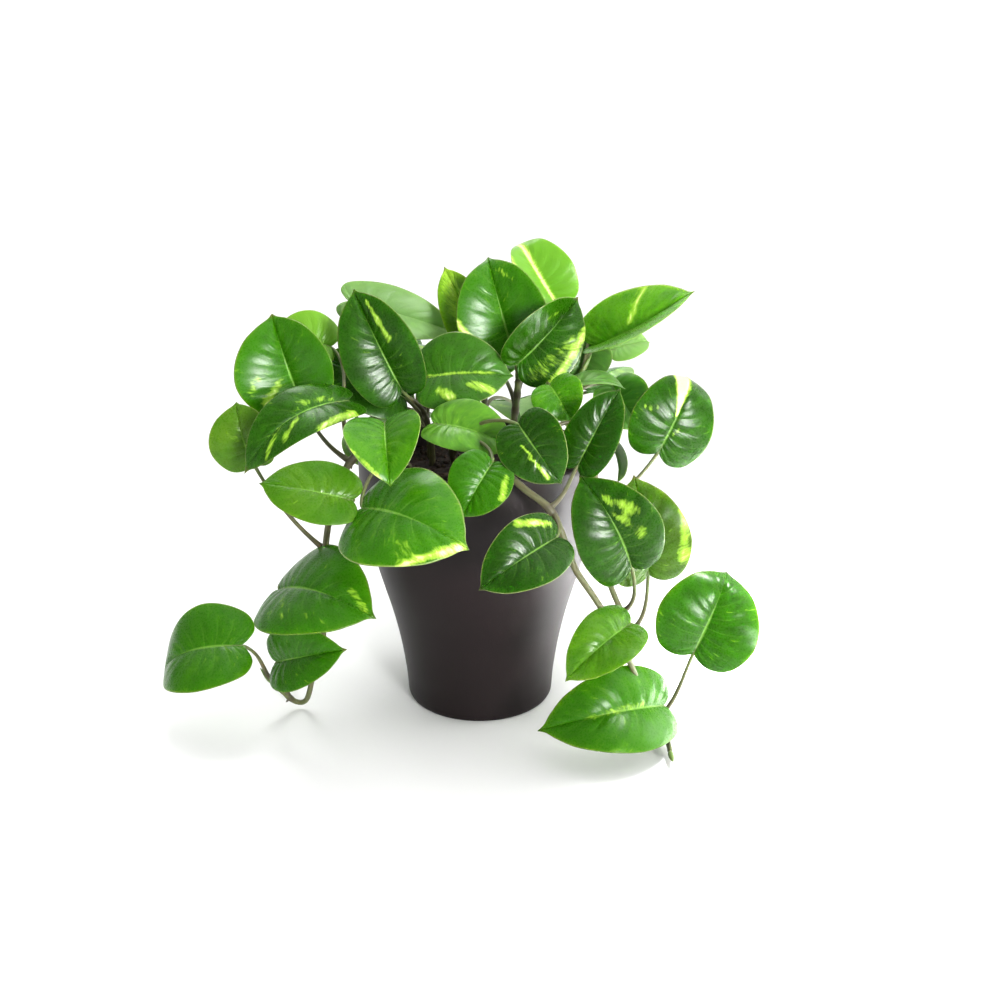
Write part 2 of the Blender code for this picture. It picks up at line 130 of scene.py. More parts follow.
def tube(path, radii, sides, seed, **looks):
    # circle of each radius, square to the path; its first direction lies in the path's own plane
    path, radii = np.asarray(path, dtype=float), np.asarray(radii, dtype=float)
    along = unit(np.gradient(path, axis=0))
    flattest = np.linalg.svd(path - path.mean(axis=0))[2][-1]
    side = unit(np.cross(flattest, along))
    up = np.cross(along, side)
    turn = roundAngles(sides)
    rings = np.cos(turn)[:, None] * side[:, None] + np.sin(turn)[:, None] * up[:, None]
    points = path[:, None] + radii[:, None, None] * rings
    place = sideBySide(lengthsAlong(path)[:, None], turn / (2 * pi), seed)
    spread = {key: np.broadcast_to(np.asarray(value)[..., None, :], points.shape)
              for key, value in looks.items()}
    return ringSurface(points, place=place, **spread)


def addObject(name, data):
    item = bpy.data.objects.new(name, data)
    bpy.context.scene.collection.objects.link(item)
    return item


def makePiece(name, surfaces, material, body="root"):
    # one mesh from several surfaces; what the materials read is kept as vector attributes
    starts = np.cumsum([0] + [surface["points"].size // 3 for surface in surfaces])
    points = np.concatenate([surface["points"].reshape(-1, 3) for surface in surfaces])
    quads = np.concatenate([surface["quads"] + start for surface, start in zip(surfaces, starts)])
    triangles = np.concatenate([surface["triangles"] + start for surface, start in zip(surfaces, starts)])
    used, corners = np.unique(np.concatenate((quads.ravel(), triangles.ravel())), return_inverse=True)
    loopStarts = np.concatenate((np.arange(len(quads)) * 4, quads.size + np.arange(len(triangles)) * 3))
    mesh = bpy.data.meshes.new(name)
    mesh.vertices.add(len(used))
    mesh.vertices.foreach_set("co", points[used].ravel())
    mesh.loops.add(len(corners))
    mesh.loops.foreach_set("vertex_index", corners)
    mesh.polygons.add(len(loopStarts))
    mesh.polygons.foreach_set("loop_start", loopStarts)
    for key in surfaces[0]["looks"]:
        values = np.concatenate([surface["looks"][key].reshape(-1, 3) for surface in surfaces])
        mesh.attributes.new(key, "FLOAT_VECTOR", "POINT").data.foreach_set("vector", values[used].ravel())
    mesh.update(calc_edges=True)
    mesh.validate()
    mesh.shade_smooth()
    mesh.materials.append(material)
    piece = addObject(name, mesh)
    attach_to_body(piece, body)
    return piece


def addNode(tree, kind, values=(), **settings):
    # a node with its settings; a value that is a socket is linked, and any other is typed in
    node = tree.nodes.new("ShaderNode" + kind)
    for key, value in settings.items():
        setattr(node, key, value)
    for key, value in dict(values).items():
        if isinstance(value, bpy.types.NodeSocket):
            tree.links.new(value, node.inputs[key])
        else:
            node.inputs[key].default_value = value
    return node


def newMaterial(name, sockets=()):
    material = bpy.data.materials.new(name)
    material.use_nodes = True
    tree = material.node_tree
    shader = tree.nodes["Principled BSDF"]
    for key, value in dict(sockets).items():
        shader.inputs[key].default_value = value
    return material, tree, shader


def calculate(tree, operation, *values):
    return addNode(tree, "Math", enumerate(values), operation=operation).outputs[0]


def multiply(tree, first, second):
    return calculate(tree, "MULTIPLY", first, second)


def multiplyAdd(tree, first, second, added):
    # first x second + added
    return calculate(tree, "MULTIPLY_ADD", first, second, added)


def uneven(tree, value, amount, base=0.0):
    # base + amount x (value - 0.5)
    return multiplyAdd(tree, calculate(tree, "SUBTRACT", value, 0.5), amount, base)


def remap(tree, value, low, high, toLow=0.0, toHigh=1.0):
    # smooth step that gives toLow at the value `low` and toHigh at `high`
    values = {"Value": value, "From Min": low, "From Max": high, "To Min": toLow, "To Max": toHigh}
    return addNode(tree, "MapRange", values, interpolation_type="SMOOTHSTEP").outputs["Result"]


def blendColours(tree, share, first, second):
    # first and second are sockets or plain colours
    colours = [value if isinstance(value, bpy.types.NodeSocket) else (*value, 1)
               for value in (first, second)]
    node = addNode(tree, "Mix", {0: share, 6: colours[0], 7: colours[1]}, data_type="RGBA")
    return node.outputs[2]


def noise(tree, vector, scale, detail=2.0, roughness=0.5):
    # a noise in a piece's dictionary is (scale, detail, roughness), and the last may be left out
    values = {"Vector": vector, "Scale": scale, "Detail": detail, "Roughness": roughness}
    return addNode(tree, "TexNoise", values).outputs["Fac"]


def attribute(tree, name):
    source = addNode(tree, "Attribute", attribute_name=name).outputs["Vector"]
    return addNode(tree, "SeparateXYZ", {0: source}).outputs


def addBump(tree, shader, height, strength, distance):
    # a bump in a piece's dictionary is (strength, distance)
    bump = addNode(tree, "Bump", {"Height": height, "Strength": strength, "Distance": distance})
    tree.links.new(bump.outputs["Normal"], shader.inputs["Normal"])


leafFinish = {
    "colours": {
        "deep": (0.013, 0.052, 0.001),
        "green": (0.034, 0.140, 0.002),
        "bright": (0.120, 0.310, 0.010),
        "olive": (0.170, 0.230, 0.030),
        "lime": (0.310, 0.510, 0.050),
        "cream": (0.800, 0.830, 0.360),
        "rib": (0.260, 0.480, 0.090),
        "under": (0.200, 0.300, 0.130),
        "dryTip": (0.120, 0.085, 0.030),
    },
    "veinsEachSide": 11,
    "ridges": 29,
    "patches": (60.0, 3.0),
    "mottle": (260.0, 3.0),
    "grain": (900.0, 2.0),
    # streaks: scale from notch to tip, scale across a side, and detail
    "broadStreaks": (13.0, 2.2, 3.0),
    "thinStreaks": (60.0, 4.0, 2.0),
    "streakRoughness": 0.55,
    "streakWander": 0.10,
    "seedStep": 17.0,
    "unevenGreen": {"broad": 0.38, "patches": 0.35, "mottle": 0.25, "thin": 0.24},
    "unevenCream": {"broad": 1.5, "thin": 1.4},
    # each ramp: from, to, and what it gives at the two ends where that isn't 0 and 1
    "ramps": {
        "green": (0.0, 0.5), "bright": (0.45, 1.0), "olive": (0.2, 0.7, 0.3, 0.8),
        "vein": (0.42, 0.5), "veinFades": (0.9, 0.1), "midrib": (0.040, 0.010),
        "midribFades": (1.0, 0.5), "variegated": (0.05, 0.35), "lime": (0.30, 1.00, 0.0, 0.85),
        "cream": (0.95, 1.60),
        "fleck": (0.62, 0.74), "fleckPatch": (0.45, 0.6), "margin": (0.965, 0.995),
        "roughness": (0.0, 1.0, 0.46, 0.28), "swelling": (0.5, 0.1), "swellingFades": (1.0, 0.5),
    },
    "strengths": {"vein": 0.13, "midrib": 0.5, "fleck": 0.35, "dryTip": 0.8, "under": 0.65},
    "unevenRoughness": 0.10,
    # heights in millimetres
    "relief": {"swelling": 0.11, "ridges": 0.016, "streaks": 0.12, "grain": 0.035},
    "sockets": {"Specular IOR Level": 0.28, "Subsurface Weight": 0.15,
                "Subsurface Radius": (0.6, 1.0, 0.2), "Subsurface Scale": 0.002},
}


def leafMaterial():
    # place holds (share from notch to tip, side share, seed), look (tone, cream, warmth) and finish
    # (1 - paleness on the upper side or 0 underneath, pale margin, dry tip); side veins run at even
    # shares, so noise stretched over the side share gives streaks along them
    material, tree, shader = newMaterial("pothosLeaf", leafFinish["sockets"])
    colours, strengths, relief = (leafFinish[key] for key in ("colours", "strengths", "relief"))
    share, side, seed = attribute(tree, "place")
    tone, cream, warmth = attribute(tree, "look")
    upper, paleMargin, dryTip = attribute(tree, "finish")
    objectPoint = addNode(tree, "TexCoord").outputs["Object"]
    across = calculate(tree, "ABSOLUTE", side)
    patches = noise(tree, objectPoint, *leafFinish["patches"])
    grain = noise(tree, objectPoint, *leafFinish["grain"])
    wander = uneven(tree, patches, leafFinish["streakWander"], share)

    def streaks(perLeaf, perSide, detail):
        # a different stretch of noise for each leaf's seed
        place = addNode(tree, "CombineXYZ", {
            0: multiplyAdd(tree, wander, perLeaf, multiply(tree, seed, leafFinish["seedStep"])),
            1: multiply(tree, side, perSide),
            2: seed,
        }).outputs[0]
        return noise(tree, place, 1.0, detail, leafFinish["streakRoughness"])

    def ramp(value, name):
        return remap(tree, value, *leafFinish["ramps"][name])

    def paint(colour, name, strength):
        # that much of the named colour over what is there
        return blendColours(tree, strength, colour, colours[name])

    broad, thin = streaks(*leafFinish["broadStreaks"]), streaks(*leafFinish["thinStreaks"])

    # green: the leaf's own tone with soft patches and streaks, and a warmer olive on some leaves
    shade = tone
    mottle = noise(tree, objectPoint, *leafFinish["mottle"])
    layers = {"broad": broad, "patches": patches, "mottle": mottle, "thin": thin}
    for name, layer in layers.items():
        shade = uneven(tree, layer, leafFinish["unevenGreen"][name], shade)
    colour = paint(colours["deep"], "green", ramp(shade, "green"))
    colour = paint(colour, "bright", ramp(shade, "bright"))
    colour = paint(colour, "olive", multiply(tree, warmth, ramp(patches, "olive")))

    # side veins: thin pale lines at even shares, fading outwards; the midrib line is wider
    phase = calculate(tree, "FRACT", multiply(tree, share, float(leafFinish["veinsEachSide"])))
    fromVein = calculate(tree, "ABSOLUTE", calculate(tree, "SUBTRACT", phase, 0.5))
    vein = multiply(tree, ramp(fromVein, "vein"), ramp(across, "veinFades"))
    colour = paint(colour, "rib", multiply(tree, vein, strengths["vein"]))
    midrib = multiply(tree, ramp(across, "midrib"), ramp(share, "midribFades"))
    colour = paint(colour, "rib", multiply(tree, midrib, strengths["midrib"]))

    # variegation and one painted highlight: the marked share, broken up by streaks, lime outside, cream
    # inside
    broken = uneven(tree, broad, leafFinish["unevenCream"]["broad"], cream)
    broken = uneven(tree, thin, leafFinish["unevenCream"]["thin"], broken)
    broken = multiply(tree, broken, ramp(cream, "variegated"))
    colour = paint(colour, "lime", ramp(broken, "lime"))
    colour = paint(colour, "cream", ramp(broken, "cream"))

    # flecks: small lime specks where the thin streaks peak
    flecks = multiply(tree, ramp(thin, "fleck"), ramp(patches, "fleckPatch"))
    colour = paint(colour, "lime", multiply(tree, flecks, strengths["fleck"]))

    # margin: a hair line, pale on some leaves; a dry tip; a greyer underside
    colour = paint(colour, "cream", multiply(tree, ramp(across, "margin"), paleMargin))
    colour = paint(colour, "dryTip", multiply(tree, dryTip, strengths["dryTip"]))
    below = paint(colour, "under", strengths["under"])
    # the upper side takes the underside's greyer colour by its paleness, on the palest leaves partly a
    # painted sheen
    tree.links.new(blendColours(tree, upper, below, colour), shader.inputs["Base Color"])
    gloss = uneven(tree, grain, leafFinish["unevenRoughness"], ramp(upper, "roughness"))
    tree.links.new(gloss, shader.inputs["Roughness"])

    # relief: swellings between the side veins, finer ridges, thin streaks and a fine grain
    fading = ramp(across, "swellingFades")
    swelling = multiply(tree, ramp(fromVein, "swelling"), fading)
    ridges = calculate(tree, "SINE", multiply(tree, wander, 2 * pi * leafFinish["ridges"]))
    height = multiplyAdd(tree, swelling, relief["swelling"], uneven(tree, grain, relief["grain"]))
    height = multiplyAdd(tree, multiply(tree, ridges, fading), relief["ridges"], height)
    addBump(tree, shader, uneven(tree, thin, relief["streaks"], height), 1.0, 0.001)
    return material


stalkFinish = {
    "woody": (0.072, 0.058, 0.038),
    "olive": (0.120, 0.120, 0.056),
    "green": (0.130, 0.205, 0.050),
    "streaksPerMetre": 60.0,
    "streaks": (2.2, 3.0),
    "specks": (700.0, 2.0),
    "unevenGreen": 0.9,
    "olivePart": (0.0, 0.5),
    "greenPart": (0.4, 1.0),
    "woodyJoint": (0.1, 1.0, 0.0, 0.7),
    "roughness": 0.42,
    "unevenRoughness": 0.2,
    "speckRelief": 0.4,
    "bump": (0.5, 0.0003),
    "sockets": {"Subsurface Weight": 0.08, "Subsurface Scale": 0.002},
}


def stalkMaterial():
    # place holds (metres along, share round, seed) and look (greenness, joint, -); streaks run along
    material, tree, shader = newMaterial("pothosStalk", stalkFinish["sockets"])
    travelled, turn, seed = attribute(tree, "place")
    greenness, joint, _ = attribute(tree, "look")
    objectPoint = addNode(tree, "TexCoord").outputs["Object"]
    angle = multiply(tree, turn, 2 * pi)
    streakPlace = addNode(tree, "CombineXYZ", {
        0: multiplyAdd(tree, travelled, stalkFinish["streaksPerMetre"], seed),
        1: calculate(tree, "SINE", angle),
        2: calculate(tree, "COSINE", angle),
    }).outputs[0]
    streaks = noise(tree, streakPlace, *stalkFinish["streaks"])
    specks = noise(tree, objectPoint, *stalkFinish["specks"])
    share = uneven(tree, streaks, stalkFinish["unevenGreen"], greenness)
    olivePart, greenPart = (remap(tree, share, *stalkFinish[key]) for key in ("olivePart", "greenPart"))
    woodyPart = remap(tree, joint, *stalkFinish["woodyJoint"])
    colour = blendColours(tree, olivePart, stalkFinish["woody"], stalkFinish["olive"])
    colour = blendColours(tree, greenPart, colour, stalkFinish["green"])
    colour = blendColours(tree, woodyPart, colour, stalkFinish["woody"])
    tree.links.new(colour, shader.inputs["Base Color"])
    gloss = uneven(tree, specks, stalkFinish["unevenRoughness"], stalkFinish["roughness"])
    tree.links.new(gloss, shader.inputs["Roughness"])
    height = multiplyAdd(tree, specks, stalkFinish["speckRelief"], streaks)
    addBump(tree, shader, height, *stalkFinish["bump"])
    return material


pot = {
    # radius and height up the outside, from the foot to under the rim's bead
    "outline": [(0.0445, 0.0), (0.0465, 0.002), (0.0477, 0.017), (0.0509, 0.039), (0.0555, 0.060),
                (0.0603, 0.077), (0.0650, 0.095), (0.0710, 0.125), (0.0728, 0.141), (0.0730, 0.160)],
    "wall": 0.004,
    "floor": 0.005,
    "footRound": (0.0012, 0.0005),  # outwards, up
    "cornerRound": 0.002,
    "sides": 192,
    "stepsPerPoint": 6,
    "rimSteps": 12,
    "dark": (0.0062, 0.0022, 0.0027),
    "light": (0.0120, 0.0055, 0.0063),
    "cloud": (18.0, 3.0),
    "grain": (1400.0, 2.0),
    "roughness": 0.46,
    "unevenRoughness": 0.10,
    "bump": (0.25, 0.0002),
    "sockets": {"Specular IOR Level": 0.38},
}


def potMaterial():
    # satin glaze: a dark plum that noise makes slightly uneven, with a very fine orange-peel bump
    material, tree, shader = newMaterial("plumGlaze", pot["sockets"])
    objectPoint = addNode(tree, "TexCoord").outputs["Object"]
    cloud = noise(tree, objectPoint, *pot["cloud"])
    grain = noise(tree, objectPoint, *pot["grain"])
    tree.links.new(blendColours(tree, cloud, pot["dark"], pot["light"]), shader.inputs["Base Color"])
    gloss = uneven(tree, cloud, pot["unevenRoughness"], pot["roughness"])
    tree.links.new(gloss, shader.inputs["Roughness"])
    addBump(tree, shader, grain, *pot["bump"])
    return material


def turned(profile, sides):
    # profile of (radius, height) swept round Z: (r cos a, r sin a, h)
    profile = np.asarray(profile, dtype=float)
    turn = roundAngles(sides)
    radius, level = profile[:, :1], np.broadcast_to(profile[:, 1:], (len(profile), sides))
    return np.stack((radius * np.cos(turn), radius * np.sin(turn), level), axis=-1)


def makePot():
    # profile: foot, smooth outside, half round rim, the outside moved in by the wall, rounded corner
    low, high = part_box("pot")
    steps = (len(pot["outline"]) - 2) * pot["stepsPerPoint"] + 1
    outline = smoothPoints(pot["outline"], np.linspace(1, len(pot["outline"]) - 1, steps))
    outline[:, 0] *= high.x / outline[:, 0].max()
    bead, footRadius = pot["wall"] / 2, pot["outline"][0][0]
    turn = np.linspace(0, pi, pot["rimSteps"] + 1)[1:-1]
    rim = np.stack((high.x - bead + bead * np.cos(turn), high.z - bead + bead * np.sin(turn)), axis=-1)
    small = pot["cornerRound"]
    inside = outline[::-1][outline[::-1, 1] > pot["floor"] + small] - (pot["wall"], 0)
    foot = [(0, low.z), (footRadius, low.z),
            (footRadius + pot["footRound"][0], low.z + pot["footRound"][1])]
    corner = [inside[-1] - (small / 4, small / 2), (inside[-1, 0] - small, pot["floor"]), (0, pot["floor"])]
    profile = np.concatenate((foot, outline, rim, inside, corner))
    piece = makePiece("pot_glazed", [ringSurface(turned(profile, pot["sides"]))], potMaterial())
    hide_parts("pot")


soil = {
    "wallGap": 0.0007,
    "edgeDrop": 0.002,
    "edgeFade": 0.006,
    "wallLevels": 12,
    "rings": 60,
    "sides": 180,
    "lump": 0.0016,
    "lumpLayers": [(1, 0.030), (0.6, 0.011), (0.35, 0.005)],  # share of the lump's height, size
    "crumbs": 420,
    "crumbSize": (0.0010, 0.0030),
    "crumbRings": 6,
    "crumbSides": 8,
    "crumbBumps": (0.25, 1.4),  # share of the crumb's radius, size
    "crumbInset": 0.003,
    "bedColours": [(0.010, 0.006, 0.005), (0.045, 0.026, 0.018)],
    "crumbColours": [(0.022, 0.013, 0.009), (0.085, 0.052, 0.032)],
    "fibre": (0.16, 0.11, 0.07),
    "patches": (90.0, 6.0, 0.65),
    "grains": (600.0, 4.0, 0.7),
    "lightPart": (0.35, 0.7),
    "fibrePart": (0.68, 0.76, 0.0, 0.6),
    "patchRelief": 0.6,
    "bump": (0.9, 0.0012),
    "sockets": {"Roughness": 0.9},
}


def soilMaterial(name, colours):
    # damp potting soil: brown patches with pale fibres and a rough bump
    material, tree, shader = newMaterial(name, soil["sockets"])
    objectPoint = addNode(tree, "TexCoord").outputs["Object"]
    patches = noise(tree, objectPoint, *soil["patches"])
    grains = noise(tree, objectPoint, *soil["grains"])
    colour = blendColours(tree, remap(tree, patches, *soil["lightPart"]), *colours)
    colour = blendColours(tree, remap(tree, grains, *soil["fibrePart"]), colour, soil["fibre"])
    tree.links.new(colour, shader.inputs["Base Color"])
    addBump(tree, shader, multiplyAdd(tree, patches, soil["patchRelief"], grains), *soil["bump"])
    return material


def soilHeight(points):
    # broad lumps, small clods and grains, as noise of three sizes
    flat = points[..., :2]
    layers = enumerate(soil["lumpLayers"], start=3)
    return soil["lump"] * sum(share * waveNoise(flat, seed, size) for seed, (share, size) in layers)


def makeSoil():
    # plug: up the pot's wall less a gap, then straight in to the middle with soilHeight added, which
    # fades out at the edge
    low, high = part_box("soil")
    edgeTop = high.z - soil["edgeDrop"]
    radii, heights = zip(*pot["outline"])
    levels = np.linspace(low.z, edgeTop, soil["wallLevels"])
    wall = np.stack((np.interp(levels, heights, radii) - pot["wall"] - soil["wallGap"], levels), axis=-1)
    edge = wall[-1, 0]
    share = np.linspace(0, 1, soil["rings"])[:, None]
    top = wall[-1] * (1 - share) + (0, high.z) * share
    points = turned(np.concatenate(([(0, low.z)], wall[:-1], top)), soil["sides"])
    onTop = points[len(wall):]
    fromMiddle = np.hypot(onTop[..., 0], onTop[..., 1])
    onTop[..., 2] += soilHeight(onTop) * smoothStep(edge, edge - soil["edgeFade"], fromMiddle)
    material = soilMaterial("pottingSoil", soil["bedColours"])
    bed = makePiece("soil_bed", [ringSurface(points)], material)
    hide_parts("soil")

    # crumbs: squashed balls with uneven radii, resting on the bed
    turn = roundAngles(soil["crumbSides"])
    tilt = np.linspace(-pi / 2, pi / 2, soil["crumbRings"])[:, None]
    ball = sideBySide(np.cos(tilt) * np.cos(turn), np.cos(tilt) * np.sin(turn), np.sin(tilt))
    bumps, bumpSize = soil["crumbBumps"]
    crumbs = []
    for number in range(soil["crumbs"]):
        angle, spin = randomNumbers.uniform(0, 2 * pi, 2)
        out = randomNumbers.uniform(0, 1) ** 0.5
        size = randomNumbers.uniform(*soil["crumbSize"]) * randomNumbers.uniform(0.5, 1, 3)
        centre = np.array((np.cos(angle), np.sin(angle), 0)) * out * (edge - soil["crumbInset"])
        centre[2] = high.z - soil["edgeDrop"] * out + soilHeight(centre)
        spun = np.array(((np.cos(spin), -np.sin(spin), 0), (np.sin(spin), np.cos(spin), 0), (0, 0, 1)))
        bumpy = ball * size * (1 + bumps * waveNoise(ball, 100 + number, bumpSize)[..., None])
        crumbs.append(ringSurface(bumpy @ spun.T + centre))
    makePiece("soil_crumbs", crumbs, soilMaterial("soilCrumbs", soil["crumbColours"]))


blade = {
    # half of the edge, from the notch round the lobe to the drip tip, of a blade one long and one wide
    "outline": [(0.0, 0.0), (-0.05, 0.06), (-0.10, 0.19), (-0.05, 0.35), (0.12, 0.46), (0.34, 0.50),
                (0.58, 0.44), (0.79, 0.31), (0.91, 0.16), (0.97, 0.05), (1.02, 0.0)],
    "rows": 56,
    "across": [0, 0.02, 0.05, 0.10, 0.17, 0.26, 0.36, 0.47, 0.58, 0.69, 0.79, 0.88, 0.945, 0.98, 1],
    "midribEase": 2.0,
    "veinCurve": 0.05,
    "thickness": 0.0005,
    "ribHeight": 0.00025,
    "puff": 0.025,
    "waveHeight": 0.0013,
    "halfWaves": (2.6, 2.2),
    "tipDroop": 0.10,
    "droopFrom": 0.55,
    "curlFrom": 0.75,
    "crease": 0.0004,
    "creaseWidth": 0.0010,
    "twist": 0.10,
    "twistFrom": 0.3,
    "dryTip": (0.955, 1.01),
    "streakEdge": (1.9, 0.2),
}
stalk = {
    "petioleRadii": (0.0014, 0.0009),
    "petioleSteps": 22,
    "petioleSides": 12,
    "petioleLift": 0.6,
    "petioleGreen": (0.25, 0.45),  # at the stem, and how much greener at the blade
    "sheath": (0.35, 0.0, 0.12),  # swelling, share of the petiole where it is, and its width
    "knee": (0.18, 0.94, 0.07),
    "ribRadii": (0.75, 0.0002),  # share of the petiole's, then metres at the end
    "ribRows": (4, 0.93, 3),  # first row, share of the rows and step
    "ribGreen": 0.85,
    "stemSides": 14,
    "stemStepsPerPoint": 8,
    "stemTipShare": 0.7,
    "stemEndShare": 0.7,
    "stemGreen": (0.25, 0.6),
    "nodeSwell": 0.28,
    "nodeLength": 0.0028,
    "nubLength": 0.0045,
    "nubRadius": 0.0009,
    "nubAway": 1.4,
    "nubDrop": 0.3,
    "spikeLength": 0.014,
    "spikeShare": 0.8,
    "spikeGreen": 0.95,
    "spikeRings": 10,
    "spikeSides": 8,
    "spikeBend": 0.15,
    "rootDepth": 0.010,
}


def leaf(at, attach, tip, faces, width, arch=0.1, fold=0.2, bow=0.0, curl=0.0, tone=0.5, warm=0.0,
         pale=0.0, edge=0.06, dryTip=0.3, marks=()):
    return {"at": at, "attach": np.array(attach), "tip": np.array(tip), "faces": np.array(faces, float),
            "width": width, "arch": arch, "fold": fold, "bow": bow, "curl": curl, "tone": tone,
            "warm": warm, "pale": pale, "edge": edge, "dryTip": dryTip, "marks": marks}
